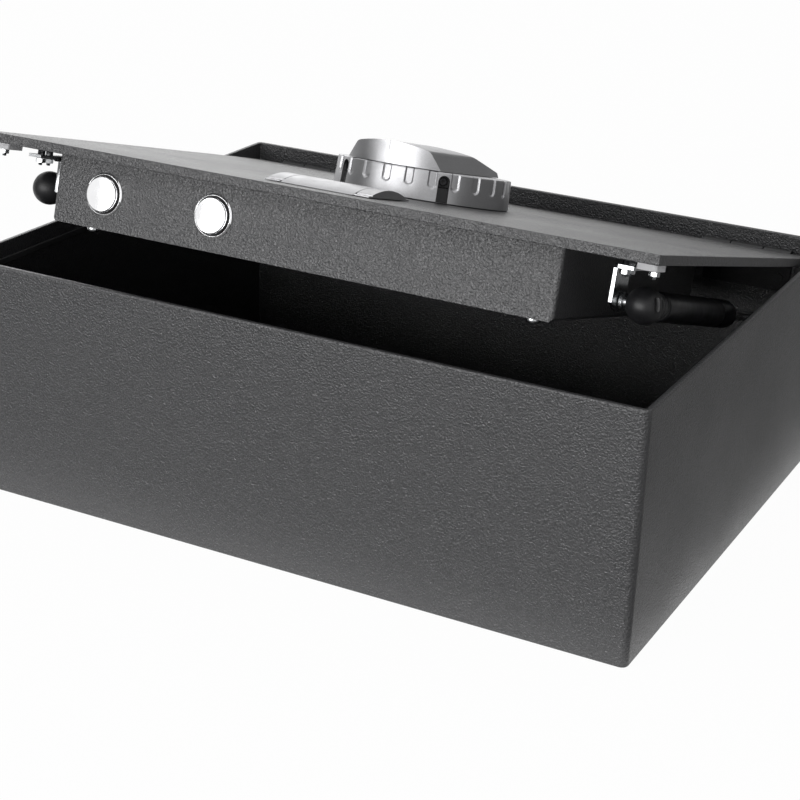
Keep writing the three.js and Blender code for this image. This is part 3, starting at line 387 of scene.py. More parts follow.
def make_smudge():
    bounds = [("Low", "NodeSocketFloat", 0.0), ("High", "NodeSocketFloat", 1.0)]
    tree, source, target = new_group("soft_smudge", [VECTOR, SIZE, *bounds], ["Value"])
    at = scaled(tree, source.outputs["Vector"], source.outputs["Size"])
    cloud = place(tree, "ShaderNodeTexNoise", {"Vector": at, "Scale": 1.0, "Detail": 4.0})
    spread = place(
        tree,
        "ShaderNodeMapRange",
        {
            "Value": cloud.outputs["Fac"],
            "From Min": 0.3,
            "From Max": 0.7,
            "To Min": source.outputs["Low"],
            "To Max": source.outputs["High"],
        },
    )
    tree.links.new(spread.outputs["Result"], target.inputs["Value"])
    return tree


def make_drawn():
    tree, source, target = new_group("drawn_lines", [VECTOR, SIZE], ["Height", "Tone"])
    at = scaled(tree, source.outputs["Vector"], source.outputs["Size"], (0.02, 1.0, 1.0))
    lines = place(tree, "ShaderNodeTexNoise", {"Vector": at, "Scale": 1.0, "Detail": 5.0})
    at_wide = scaled(tree, source.outputs["Vector"], source.outputs["Size"], (0.006, 0.2, 0.2))
    wide = place(tree, "ShaderNodeTexNoise", {"Vector": at_wide, "Scale": 1.0, "Detail": 2.0})
    tree.links.new(lines.outputs["Fac"], target.inputs["Height"])
    tree.links.new(wide.outputs["Fac"], target.inputs["Tone"])
    return tree


def make_flakes():
    tree, source, target = new_group("metal_flakes", [VECTOR, SIZE], ["Height", "Tone"])
    at = scaled(tree, source.outputs["Vector"], source.outputs["Size"])
    cells = place(tree, "ShaderNodeTexVoronoi", {"Vector": at, "Scale": 1.0}, feature="F1")
    split = place(tree, "ShaderNodeSeparateColor", {"Color": cells.outputs["Color"]})
    soft = place(tree, "ShaderNodeTexNoise", {"Vector": at, "Scale": 0.5, "Detail": 2.0})
    tree.links.new(soft.outputs["Fac"], target.inputs["Height"])
    tree.links.new(split.outputs["Red"], target.inputs["Tone"])
    return tree


GRAIN = make_grain()
SMUDGE = make_smudge()
DRAWN = make_drawn()
FLAKES = make_flakes()
print("groups", [group.name for group in (GRAIN, SMUDGE, DRAWN, FLAKES)])

# %% [markdown]
# A finish is one material for one of the record's slots. Numbers that hold all over go straight onto
# the shader's sockets. What varies comes from the groups: a tone between two colours, a roughness
# between two values, and a height that feeds a Bump node.

# %% Helpers for finishes
FINISH = {}


def start(slot):
    """A bare material for a slot, with its shader and its coordinates."""
    material = bpy.data.materials.new(slot)
    material.use_nodes = True
    tree = material.node_tree
    tree.nodes.clear()
    out = tree.nodes.new("ShaderNodeOutputMaterial")
    shader = tree.nodes.new("ShaderNodeBsdfPrincipled")
    tree.links.new(shader.outputs["BSDF"], out.inputs["Surface"])
    where = tree.nodes.new("ShaderNodeTexCoord").outputs["Object"]
    FINISH[slot] = material
    return tree, shader, where


def use_group(tree, group, where, **values):
    node = place(tree, "ShaderNodeGroup", node_tree=group)
    tree.links.new(where, node.inputs["Vector"])
    for key, value in values.items():
        node.inputs[key].default_value = value
    return node


def blend_tone(tree, factor, dark, light):
    """A colour between two, chosen by a mask."""
    mix = place(tree, "ShaderNodeMix", data_type="RGBA")
    tree.links.new(factor, mix.inputs["Factor"])
    mix.inputs["A"].default_value = (*dark, 1)
    mix.inputs["B"].default_value = (*light, 1)
    return mix.outputs["Result"]


def bump(tree, shader, height, strength, distance):
    values = {"Height": height, "Strength": strength, "Distance": distance}
    node = place(tree, "ShaderNodeBump", values)
    tree.links.new(node.outputs["Normal"], shader.inputs["Normal"])


def rough_between(tree, shader, where, size, low, high):
    """A roughness that drifts between two values."""
    smudge = use_group(tree, SMUDGE, where, Size=size, Low=low, High=high)
    tree.links.new(smudge.outputs["Value"], shader.inputs["Roughness"])


def sheet_coat(slot, dark, light, grain, strength, low, high, shine=0.5):
    """A powder coating: a flowed, slightly wrinkled skin with a fine fleck."""
    tree, shader, where = start(slot)
    skin = use_group(tree, GRAIN, where, Size=grain)
    tone = blend_tone(tree, skin.outputs["Fleck"], dark, light)
    tree.links.new(tone, shader.inputs["Base Color"])
    rough_between(tree, shader, where, 60 * MM, low, high)
    bump(tree, shader, skin.outputs["Height"], strength, 0.6 * MM)
    shader.inputs["Specular IOR Level"].default_value = shine


def metal(slot, dark, light, size, low, high, group=None, strength=0.1):
    """A bare or plated metal, with flakes, drawn lines or only smudges."""
    tree, shader, where = start(slot)
    shader.inputs["Metallic"].default_value = 1.0
    if group:
        marks = use_group(tree, group, where, Size=size)
        tone = blend_tone(tree, marks.outputs["Tone"], dark, light)
        bump(tree, shader, marks.outputs["Height"], strength, 0.02 * MM)
    else:
        cloud = use_group(tree, SMUDGE, where, Size=size, Low=0.0, High=1.0)
        tone = blend_tone(tree, cloud.outputs["Value"], dark, light)
    tree.links.new(tone, shader.inputs["Base Color"])
    rough_between(tree, shader, where, 9 * MM, low, high)


def moulded(slot, dark, light, grain, strength, low, high, shine=0.5):
    """A moulded plastic or rubber with a spark-eroded texture."""
    tree, shader, where = start(slot)
    skin = use_group(tree, GRAIN, where, Size=grain)
    cloud = use_group(tree, SMUDGE, where, Size=12 * MM, Low=0.0, High=1.0)
    tone = blend_tone(tree, cloud.outputs["Value"], dark, light)
    tree.links.new(tone, shader.inputs["Base Color"])
    rough_between(tree, shader, where, 6 * MM, low, high)
    bump(tree, shader, skin.outputs["Height"], strength, 0.05 * MM)
    shader.inputs["Specular IOR Level"].default_value = shine
    return shader


print("finish helpers ready")

# %% [markdown]
# The coating of the case is a charcoal powder coat. Close up it is a flowed, leathery skin with cells
# a little over a millimetre across. From a step away it only breaks up the light.

# %% Painted finishes
sheet_coat("coat", (0.013, 0.013, 0.0145), (0.058, 0.058, 0.061), 1.05 * MM, 1.0, 0.3, 0.37, 0.85)
sheet_coat("coat_dark", (0.008, 0.008, 0.009), (0.015, 0.015, 0.016), 0.9 * MM, 0.4, 0.45, 0.55)
moulded("tube_black", (0.004, 0.004, 0.005), (0.007, 0.007, 0.008), 2 * MM, 0.03, 0.3, 0.4, 0.2)
print("paints", sorted(FINISH))

# %% [markdown]
# Metals differ mostly in how they blur a reflection. The fingerprint unit is satin, the bolts are
# polished, the brackets are zinc plated and faintly mottled, the rods are ground lengthwise, and the
# unit's screws are blacked steel.

# %% Metal finishes
metal("satin_silver", (0.36, 0.36, 0.37), (0.45, 0.45, 0.46), 0.22 * MM, 0.32, 0.42, FLAKES, 0.05)
metal("chrome", (0.84, 0.84, 0.85), (0.92, 0.92, 0.93), 14 * MM, 0.04, 0.09)
metal("zinc", (0.40, 0.41, 0.42), (0.62, 0.63, 0.64), 1.6 * MM, 0.16, 0.3)
metal("steel", (0.42, 0.42, 0.43), (0.60, 0.60, 0.61), 0.3 * MM, 0.18, 0.3, DRAWN, 0.12)
metal("black_steel", (0.030, 0.030, 0.032), (0.050, 0.050, 0.053), 0.6 * MM, 0.24, 0.4)
metal("brass", (0.55, 0.40, 0.16), (0.70, 0.54, 0.25), 0.4 * MM, 0.2, 0.34, DRAWN, 0.1)
print("metals", len(FINISH))

# %% [markdown]
# Plastics, rubber, foam and felt take soft light. The felt has its nap from a fine noise and a little
# sheen, and the pad in the corner is a closed foam with small cells.

# %% Soft and moulded finishes
moulded("black_plastic", (0.008, 0.008, 0.009), (0.014, 0.014, 0.015), 0.35 * MM, 0.2, 0.36, 0.46, 0.35)
moulded("rubber", (0.016, 0.016, 0.017), (0.026, 0.026, 0.027), 0.5 * MM, 0.3, 0.6, 0.75)
moulded("grey_pad", (0.40, 0.40, 0.41), (0.52, 0.52, 0.53), 0.45 * MM, 0.7, 0.7, 0.85)
moulded("red_plastic", (0.42, 0.018, 0.012), (0.52, 0.026, 0.018), 0.6 * MM, 0.1, 0.25, 0.35)
moulded("battery_case", (0.020, 0.023, 0.032), (0.03, 0.034, 0.045), 1.4 * MM, 0.08, 0.25, 0.4)
felt = moulded("felt", (0.008, 0.008, 0.009), (0.018, 0.018, 0.019), 0.5 * MM, 1.0, 0.9, 1.0)
felt.inputs["Sheen Weight"].default_value = 0.35
felt.inputs["Sheen Roughness"].default_value = 0.5
print("finishes", len(FINISH))

# %% [markdown]
# Three small finishes are made one by one: the scanner's dark glass, the tinted lens of the light, and
# the circuit board, whose copper shows through the green as lighter tracks.

# %% Glass, lens and circuit board
tree, shader, where = start("scanner_glass")
ghost = use_group(tree, SMUDGE, where, Size=7 * MM, Low=0.0, High=1.0)
tone = blend_tone(tree, ghost.outputs["Value"], (0.006, 0.007, 0.010), (0.014, 0.018, 0.030))
tree.links.new(tone, shader.inputs["Base Color"])
rough_between(tree, shader, where, 5 * MM, 0.05, 0.12)
shader.inputs["Coat Weight"].default_value = 0.6
shader.inputs["Coat Roughness"].default_value = 0.05

tree, shader, where = start("blue_lens")
ripple = use_group(tree, FLAKES, where, Size=0.5 * MM)
tone = blend_tone(tree, ripple.outputs["Tone"], (0.02, 0.09, 0.34), (0.05, 0.17, 0.52))
tree.links.new(tone, shader.inputs["Base Color"])
rough_between(tree, shader, where, 2 * MM, 0.1, 0.2)

tree, shader, where = start("circuit_board")
turn = place(tree, "ShaderNodeMapping", {"Vector": where, "Scale": (1 / (3 * MM),) * 3})
tracks = place(
    tree,
    "ShaderNodeTexBrick",
    {"Vector": turn.outputs["Vector"], "Scale": 1.0, "Mortar Size": 0.06, "Mortar Smooth": 0.2},
    offset=0.5,
)
tone = blend_tone(tree, tracks.outputs["Fac"], (0.012, 0.085, 0.035), (0.035, 0.17, 0.07))
tree.links.new(tone, shader.inputs["Base Color"])
rough_between(tree, shader, where, 8 * MM, 0.3, 0.45)
bump(tree, shader, tracks.outputs["Fac"], 0.3, 0.03 * MM)
print("all finishes", sorted(FINISH))

# %% [markdown]
# Every CAD node starts with the finish of its slot in the record. A node that gets a finer skin later
# is hidden by it, and the rest show as they are, with their edges crisp.

# %% Finishes on the CAD nodes
slot_of = {entry["node"]: entry["material_slot"] for entry in frame["record"]["subparts"]}
for name, node in frame["nodes"].items():
    node.data.materials.clear()
    node.data.materials.append(FINISH[slot_of[name]])


def add_piece(name, mesh, space, body, slot, *nodes):
    """Puts a mesh drawn in other axes into the frame, in place of the nodes it stands for."""
    mesh.name = name
    moved(mesh, space)
    mesh.materials.clear()
    mesh.materials.append(FINISH[slot])
    piece = bpy.data.objects.new(name, mesh)
    bpy.context.scene.collection.objects.link(piece)
    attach(piece, body)
    if nodes:
        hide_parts(*nodes)
    return piece


def report(*pieces):
    """Prints how many triangles each piece has."""
    for piece in pieces:
        piece.data.calc_loop_triangles()
        print(piece.name, len(piece.data.loop_triangles), "triangles")


def stand_in(node, mesh, space, body):
    """A finer mesh in place of one node, named after it and with the finish of its slot."""
    report(add_piece(f"{node}_skin", mesh, space, body, slot_of[node], node))


def lay_skin(node, body, width, segments=2, limit=28):
    """A node's own shape, with its edges broken."""
    stand_in(node, dressed(node, width, segments, limit), WORLD, body)


print("nodes dressed", len(slot_of))

# %% [markdown]
# The case is one sheet box: rounded corners, a turned rim and a soft fold at the foot. A loft follows
# the wall's section round the box, so the rounding is real and catches the light along the rim.

# %% Case shell
WALL = 3 * MM
CORNER = 4 * MM
FOOT_ROUND = 1.2 * MM
RIM_ROUND = 1.2 * MM
LIP_ROUND = 0.6 * MM
ANCHOR_HOLE = 4.5 * MM
ANCHOR_INSET = (60 * MM, 54 * MM)
LEAST_CORNER = 0.8 * MM

case_low, case_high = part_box("case_shell")
top = case_high.z
section = [(FOOT_ROUND, 0.0)]
section += arc((FOOT_ROUND, FOOT_ROUND), FOOT_ROUND, 270, 180, 5)[1:]
section += arc((RIM_ROUND, top - RIM_ROUND), RIM_ROUND, 180, 90, 6)
section += arc((WALL - LIP_ROUND, top - LIP_ROUND), LIP_ROUND, 90, 0, 4)
section += [(WALL, WALL + LIP_ROUND), (WALL + LIP_ROUND, WALL)]


def case_ring(inset, height):
    """The wall's outline at one height, drawn in by an inset."""
    radius = max(CORNER - inset, LEAST_CORNER)
    outline = rounded(
        case_low.x + inset, case_high.x - inset, case_low.y + inset, case_high.y - inset, radius, 8
    )
    return [(x, y, height) for x, y in outline]


shell = loft([case_ring(inset, height) for inset, height in section])
hole = [(0, -WALL), (ANCHOR_HOLE, -WALL), (ANCHOR_HOLE, 2 * WALL), (0, 2 * WALL)]
drills = []
for sx in (-1, 1):
    for sy in (-1, 1):
        spot = (sx * (case_high.x - ANCHOR_INSET[0]), sy * (case_high.y - ANCHOR_INSET[1]), 0)
        drills.append(moved(lathe(hole, 40), Matrix.Translation(spot)))
shell = cut(shell, *drills)
shell.shade_smooth()
shell = run(shell, EVEN_OUT)
report(add_piece("case_skin", shell, WORLD, "case", "coat", "case_shell"))

# %% [markdown]
# The small fittings inside the case are simple shapes with softened edges: the mat, the keeper that
# the bolts hook under, the strips along the side walls and the anchors of the struts.

# %% Fittings of the case
for node, width, segments in (
    ("floor_mat", 0.5 * MM, 2),
    ("keeper_channel", 0.35 * MM, 2),
    ("edge_strip_left", 0.5 * MM, 3),
    ("edge_strip_right", 0.5 * MM, 3),
    ("strut_anchor_left", 0.3 * MM, 2),
    ("strut_anchor_right", 0.3 * MM, 2),
):
    lay_skin(node, "case", width, segments)

# %% [markdown]
# The lid is a flat plate with a slightly broken edge. Two holes go through it, under the fingerprint
# unit and under the key cover.

# %% Lid plate
lid_low, lid_high = measure("lid_plate", LID)
lock_low, lock_high = measure("key_barrel", LID)
unit_low, unit_high = measure("module_base", LID)
KEY = Vector(((lock_low.x + lock_high.x) / 2, (lock_low.y + lock_high.y) / 2, 0))
UNIT = Vector(((unit_low.x + unit_high.x) / 2, (unit_low.y + unit_high.y) / 2, 0))
CABLE_HOLE = 12 * MM
KEY_HOLE = 9.5 * MM


def drill(radius, low, high, place_at, sides=48):
    """A round bar along z, to cut a hole with."""
    shape = lathe([(0, low), (radius, low), (radius, high), (0, high)], sides)
    return moved(shape, Matrix.Translation(place_at))


plate = block(lid_low, lid_high)
plate = cut(
    plate,
    drill(CABLE_HOLE, 2 * lid_low.z, -lid_low.z, UNIT),
    drill(KEY_HOLE, 2 * lid_low.z, -lid_low.z, KEY),
)
stand_in("lid_plate", soften(plate, 0.45 * MM), LID, "lid")

# %% [markdown]
# The lock housing hangs under the lid: a folded box with tight round corners and a chamfer along the
# lower edges of its ends. The locking bolts come out through its front face. The cover that closes it
# from below, and the battery door in that cover, keep the shapes of their nodes.

# %% Lock housing and its cover
HOUSING_SHEET = 1.5 * MM
HOUSING_CORNER = 2 * MM
HOUSING_CHAMFER = 2.2 * MM
LIP = Vector((5 * MM, 9 * MM, 1.5 * MM))
LIP_SINK = 0.7 * MM
COVER_GAP = 0.3 * MM
BOLT_BORE = 10.8 * MM
BORE_DEPTH = 3 * MM
SCREW_CLEARANCE = 1.8 * MM

box_low, box_high = measure("lock_housing", LID)
outer = extrude(
    rounded(box_low.x, box_high.x, box_low.y, box_high.y, HOUSING_CORNER), box_low.z, box_high.z
)
ends = [
    (box_low.x, box_high.z + MM),
    (box_low.x, box_low.z + HOUSING_CHAMFER),
    (box_low.x + HOUSING_CHAMFER, box_low.z),
    (box_high.x - HOUSING_CHAMFER, box_low.z),
    (box_high.x, box_low.z + HOUSING_CHAMFER),
    (box_high.x, box_high.z + MM),
]
outer = combine(outer, "INTERSECT", [extrude(ends, box_low.y - MM, box_high.y + MM, "y")])
sheet = Vector((HOUSING_SHEET, HOUSING_SHEET, 0))
room = block(box_low + sheet - Vector((0, 0, MM)), box_high - sheet + Vector((0, 0, MM)))
walls = cut(outer, room)
lip_top = box_low.z + COVER_GAP + HOUSING_SHEET + COVER_GAP + LIP.z
for near, far in (
    (box_low.y + LIP_SINK, box_low.y + HOUSING_SHEET + LIP.y),
    (box_high.y - HOUSING_SHEET - LIP.y, box_high.y - LIP_SINK),
):
    low = (box_low.x + HOUSING_SHEET + LIP.x, near, lip_top - LIP.z)
    high = (box_high.x - HOUSING_SHEET - LIP.x, far, lip_top)
    walls = join(walls, block(low, high))
bores = []
for side in ("left", "right"):
    bolt_low, bolt_high = measure(f"locking_bolt_{side}", LID)
    centre = ((bolt_low.x + bolt_high.x) / 2, box_low.y, (bolt_low.z + bolt_high.z) / 2)
    hole = [(0, -BORE_DEPTH), (BOLT_BORE, -BORE_DEPTH), (BOLT_BORE, BORE_DEPTH), (0, BORE_DEPTH)]
    bore = lathe(hole, 64)
    bores.append(moved(bore, Matrix.Translation(centre) @ Matrix.Rotation(radians(-90), 4, "X")))
screw_holes = []
for side in ("left", "right"):
    low, high = measure(f"cover_screw_{side}", LID)
    spot = ((low.x + high.x) / 2, (low.y + high.y) / 2, 0)
    screw_holes.append(drill(SCREW_CLEARANCE, box_low.z - MM, box_low.z + 6 * MM, spot, 24))
walls = cut(walls, *bores, *screw_holes)
stand_in("lock_housing", soften(walls, 0.5 * MM), LID, "lid")
for node, width, body in (
    ("lock_cover", 0.3 * MM, "lid"),
    ("battery_door", 0.35 * MM, "battery_door"),
):
    lay_skin(node, body, width)

# %% [markdown]
# The locking bolts are turned and polished, and each comes out through a flanged collar. Both are
# lathe shapes: a profile of a few points, turned about an axis that then lies along the lid.

# %% Locking bolts and collars
ALONG_Y = Matrix.Rotation(radians(-90), 4, "X")
ALONG_X = Matrix.Rotation(radians(90), 4, "Y")
SLEEVE = 10.5 * MM
WELL_RADIUS = 10.3 * MM
WELL_LENGTH = 3 * MM
LIP_FRONT = 0.15 * MM
LIP_HEIGHT = 0.8 * MM
BOLT_EDGE = 0.7 * MM
for side in ("left", "right"):
    low, high = measure(f"locking_bolt_{side}", LID)
    at = Matrix.Translation(((low.x + high.x) / 2, low.y, (low.z + high.z) / 2)) @ ALONG_Y
    radius = (high.x - low.x) / 2
    length = high.y - low.y
    profile = [(0, 0)]
    profile += arc((radius - BOLT_EDGE, BOLT_EDGE), BOLT_EDGE, -90, 0, 6)
    profile += [(radius, length), (0, length)]
    bolt = smooth(lathe(profile, 96), 40)
    stand_in(f"locking_bolt_{side}", bolt, LID @ at, "bolt_carriage")
    low, high = measure(f"bolt_collar_{side}", LID)
    flange = (high.x - low.x) / 2
    bore = radius + 0.4 * MM
    length = high.y - low.y
    profile = [(WELL_RADIUS, WELL_LENGTH), (WELL_RADIUS, LIP_FRONT + 0.1 * MM)]
    profile += arc((WELL_RADIUS + 0.2 * MM, LIP_FRONT + 0.15 * MM), 0.15 * MM, -90, -30, 4)
    profile += [(flange, LIP_HEIGHT - 0.1 * MM)]
    profile += [(flange, LIP_HEIGHT), (SLEEVE, LIP_HEIGHT), (SLEEVE, length), (bore, length)]
    profile += [(bore, WELL_LENGTH), (WELL_RADIUS, WELL_LENGTH)]
    at = Matrix.Translation(((low.x + high.x) / 2, low.y, (low.z + high.z) / 2)) @ ALONG_Y
    stand_in(f"bolt_collar_{side}", smooth(lathe(profile, 96), 40), LID @ at, "lid")
    # A black plastic ring fills the well round each bolt, just below its mouth. Its black is partly painted shade:
    # it stands in for the shade deep in the gap between bolt and collar.
    inner = radius + 0.2 * MM
    outer = WELL_RADIUS - 0.05 * MM
    ring = [(inner, WELL_LENGTH), (inner, 0.7 * MM), (outer, 0.5 * MM), (outer, WELL_LENGTH)]
    ring += [(inner, WELL_LENGTH)]
    well_shade = smooth(lathe(ring, 96), 40)
    report(add_piece(f"bolt_bush_{side}", well_shade, LID @ at, "lid", "black_plastic"))

# %% [markdown]
# The base of the fingerprint unit follows a rule: a round wall with a groove every fifteen degrees,
# each round at its foot and open at the top. Geometry Nodes suit that. A plain turned wall goes in,
# and the tree pushes each point inwards by how deep it lies inside its nearest groove.

# %% Geometry Nodes helpers
def geometry_tree(name, inputs):
    """An empty geometry tree with its sockets, and its input and output nodes."""
    tree = bpy.data.node_groups.new(name, "GeometryNodeTree")
    tree.interface.new_socket("Geometry", in_out="INPUT", socket_type="NodeSocketGeometry")
    for label, kind in inputs:
        tree.interface.new_socket(label, in_out="INPUT", socket_type=kind)
    tree.interface.new_socket("Geometry", in_out="OUTPUT", socket_type="NodeSocketGeometry")
    return tree, tree.nodes.new("NodeGroupInput"), tree.nodes.new("NodeGroupOutput")


def maths(tree, operation, *values):
    """A chain of Math nodes reads better as a call: operation, then its operands."""
    return place(tree, "ShaderNodeMath", dict(enumerate(values)), operation=operation).outputs[0]


def grow(tree, mesh, **values):
    """Runs a tree on a mesh and returns the plain result. Inputs are set by their identifiers."""
    holder = bpy.data.objects.new("holder", mesh)
    bpy.context.scene.collection.objects.link(holder)
    modifier = holder.modifiers.new("nodes", "NODES")
    modifier.node_group = tree
    for item in tree.interface.items_tree:
        if item.in_out == "INPUT" and item.name in values:
            modifier[item.identifier] = values[item.name]
    graph = bpy.context.evaluated_depsgraph_get()
    made = bpy.data.meshes.new_from_object(holder.evaluated_get(graph), depsgraph=graph)
    bpy.data.objects.remove(holder)
    return made


def close_tree(tree, geometry, source, target):
    """Every tree ends the same way: real geometry, with its material set."""
    real = place(tree, "GeometryNodeRealizeInstances", {"Geometry": geometry})
    painted = place(tree, "GeometryNodeSetMaterial", {"Geometry": real.outputs["Geometry"]})
    tree.links.new(source.outputs["Material"], painted.inputs["Material"])
    tree.links.new(painted.outputs["Geometry"], target.inputs["Geometry"])


print("geometry helpers ready")

# %% [markdown]
# For every point of the wall the tree works out how far it lies outside the nearest groove: across it
# by angle, and below its round foot by height. Points inside are pushed inwards. Points well within
# the wall stay where they are, so the inner side keeps its shape.

# %% The groove tree
SKIN_DEPTH = 2.6 * MM
SKIN_BLEND = 1.2 * MM


def sum_of_squares(tree, a, b):
    """Nodes that add the squares of two values."""
    return maths(tree, "ADD", maths(tree, "MULTIPLY", a, a), maths(tree, "MULTIPLY", b, b))


def make_groove_tree():
    sizes = ["Count", "Turn", "Wall radius", "Groove width", "Groove depth", "Groove foot", "Softness"]
    inputs = [(label, "NodeSocketFloat") for label in sizes] + [("Material", "NodeSocketMaterial")]
    tree, source, target = geometry_tree("wall_grooves", inputs)
    given = source.outputs
    position = place(tree, "GeometryNodeInputPosition").outputs[0]
    x, y, z = place(tree, "ShaderNodeSeparateXYZ", {0: position}).outputs
    radius = maths(tree, "SQRT", sum_of_squares(tree, x, y))
    angle = maths(tree, "SUBTRACT", maths(tree, "ARCTAN2", y, x), given["Turn"])
    pitch = maths(tree, "DIVIDE", 2 * pi, given["Count"])
    steps = maths(tree, "DIVIDE", angle, pitch)
    offset = maths(tree, "SUBTRACT", steps, maths(tree, "ROUND", steps))
    across = maths(tree, "MULTIPLY", maths(tree, "MULTIPLY", offset, pitch), given["Wall radius"])
    half = maths(tree, "MULTIPLY", given["Groove width"], 0.5)
    above_foot = maths(tree, "SUBTRACT", z, given["Groove foot"])
    below = maths(tree, "MINIMUM", maths(tree, "SUBTRACT", above_foot, half), 0.0)
    distance = maths(tree, "SQRT", sum_of_squares(tree, across, below))
    outside = maths(tree, "SUBTRACT", distance, half)
    low = maths(tree, "MULTIPLY", given["Softness"], -1.0)
    inside = place(
        tree,
        "ShaderNodeMapRange",
        {"Value": outside, "From Min": given["Softness"], "From Max": low},
        interpolation_type="SMOOTHERSTEP",
    )
    rim = maths(tree, "SUBTRACT", given["Wall radius"], SKIN_DEPTH)
    near_wall = place(
        tree,
        "ShaderNodeMapRange",
        {"Value": radius, "From Min": rim, "From Max": maths(tree, "ADD", rim, SKIN_BLEND)},
    )
    amount = maths(tree, "MULTIPLY", inside.outputs["Result"], near_wall.outputs["Result"])
    push = maths(tree, "MULTIPLY", maths(tree, "MULTIPLY", amount, given["Groove depth"]), -1.0)
    scale = maths(tree, "DIVIDE", push, maths(tree, "MAXIMUM", radius, MM))
    flat = place(tree, "ShaderNodeCombineXYZ", {0: x, 1: y})
    offset_vector = place(tree, "ShaderNodeVectorMath", {0: flat.outputs[0], 3: scale}, operation="SCALE")
    pushed = place(
        tree,
        "GeometryNodeSetPosition",
        {"Geometry": given["Geometry"], "Offset": offset_vector.outputs[0]},
    )
    close_tree(tree, pushed.outputs["Geometry"], source, target)
    return tree


GROOVES = make_groove_tree()
print("tree", GROOVES.name, len(GROOVES.nodes), "nodes")

# %% [markdown]
# The wall leans in a little and is rounded at its top edge. After the grooves, four arched slots are
# cut for the screws that hold the unit to the lid.

# %% Base of the fingerprint unit
UNIT_SEAT = unit_low.z
UNIT_TURN = radians(1.5)
FOOT_RADIUS = 49.5 * MM
TOP_RADIUS = 48.8 * MM
UNIT_HEIGHT = 16.4 * MM
UNIT_WALL = 4.2 * MM
UNIT_DECK = 2.2 * MM
UNIT_CHAMFER = 0.3 * MM
EDGE = 0.8 * MM
WALL_ROWS = 26
GROOVE_COUNT = 24
GROOVE_WIDTH = 4.4 * MM
GROOVE_DEPTH = 0.95 * MM
GROOVE_FOOT = 7.4 * MM
GROOVE_SOFTNESS = 0.42 * MM
SLOT_ANGLE = radians(37.5)
SLOT_WIDTH = 6.4 * MM
SLOT_TOP = 14.8 * MM
SLOT_DEPTH = 3 * MM
SLOT_SCREW_HEIGHT = 11.4 * MM

profile = [(FOOT_RADIUS - UNIT_WALL, 0), (FOOT_RADIUS - UNIT_CHAMFER, 0)]
for i in range(WALL_ROWS + 1):
    share = i / WALL_ROWS
    height = UNIT_CHAMFER + share * (UNIT_HEIGHT - EDGE - UNIT_CHAMFER)
    profile.append((FOOT_RADIUS + share * (TOP_RADIUS - FOOT_RADIUS), height))
profile += arc((TOP_RADIUS - EDGE, UNIT_HEIGHT - EDGE), EDGE, 0, 90, 6)[1:]
profile += [(TOP_RADIUS - 1.6 * MM, UNIT_HEIGHT), (TOP_RADIUS - 3.2 * MM, UNIT_HEIGHT)]
profile += [(30 * MM, UNIT_HEIGHT), (CABLE_HOLE, UNIT_HEIGHT), (CABLE_HOLE, UNIT_HEIGHT - UNIT_DECK)]
profile += [(TOP_RADIUS - UNIT_WALL, UNIT_HEIGHT - UNIT_DECK)]
FRONT = -pi / 2
base = grow(
    GROOVES,
    lathe(profile, 720),
    **{
        "Count": float(GROOVE_COUNT),
        "Turn": FRONT + UNIT_TURN,
        "Wall radius": TOP_RADIUS,
        "Groove width": GROOVE_WIDTH,
        "Groove depth": GROOVE_DEPTH,
        "Groove foot": GROOVE_FOOT,
        "Softness": GROOVE_SOFTNESS,
        "Material": FINISH["satin_silver"],
    },
)


def slot_axes(number):
    """Axes of one slot: x across it, y outwards from the unit's middle, z up the wall."""
    angle = (SLOT_ANGLE, pi - SLOT_ANGLE, pi + SLOT_ANGLE, -SLOT_ANGLE)[number] + FRONT + UNIT_TURN
    out = Vector((cos(angle), sin(angle), 0))
    return axes(Vector((0, 0, 0)), out.cross(Vector((0, 0, 1))), out, (0, 0, 1))


def arch(half_width, foot, crown, steps=12):
    """The outline of a slot: straight sides under a round top."""
    head = arc((0, crown - half_width), half_width, 0, 180, steps)
    return [(-half_width, foot), (half_width, foot)] + head


slot_cutter = [
    moved(
        extrude(arch(SLOT_WIDTH / 2, -MM, SLOT_TOP), TOP_RADIUS - SLOT_DEPTH, FOOT_RADIUS + MM, "y"),
        slot_axes(i),
    )
    for i in range(4)
]
base = smooth(cut(base, *slot_cutter), 30)
UNIT_SPACE = LID @ Matrix.Translation((UNIT.x, UNIT.y, UNIT_SEAT))
stand_in("module_base", base, UNIT_SPACE, "lid")

# %% [markdown]
# Each slot is lined with black plastic, with a round well for the screw and a ramp at its foot. The
# four liners and the four screws are copies, so a second tree places a shape at every point of a
# small mesh, turned to the direction stored at that point.

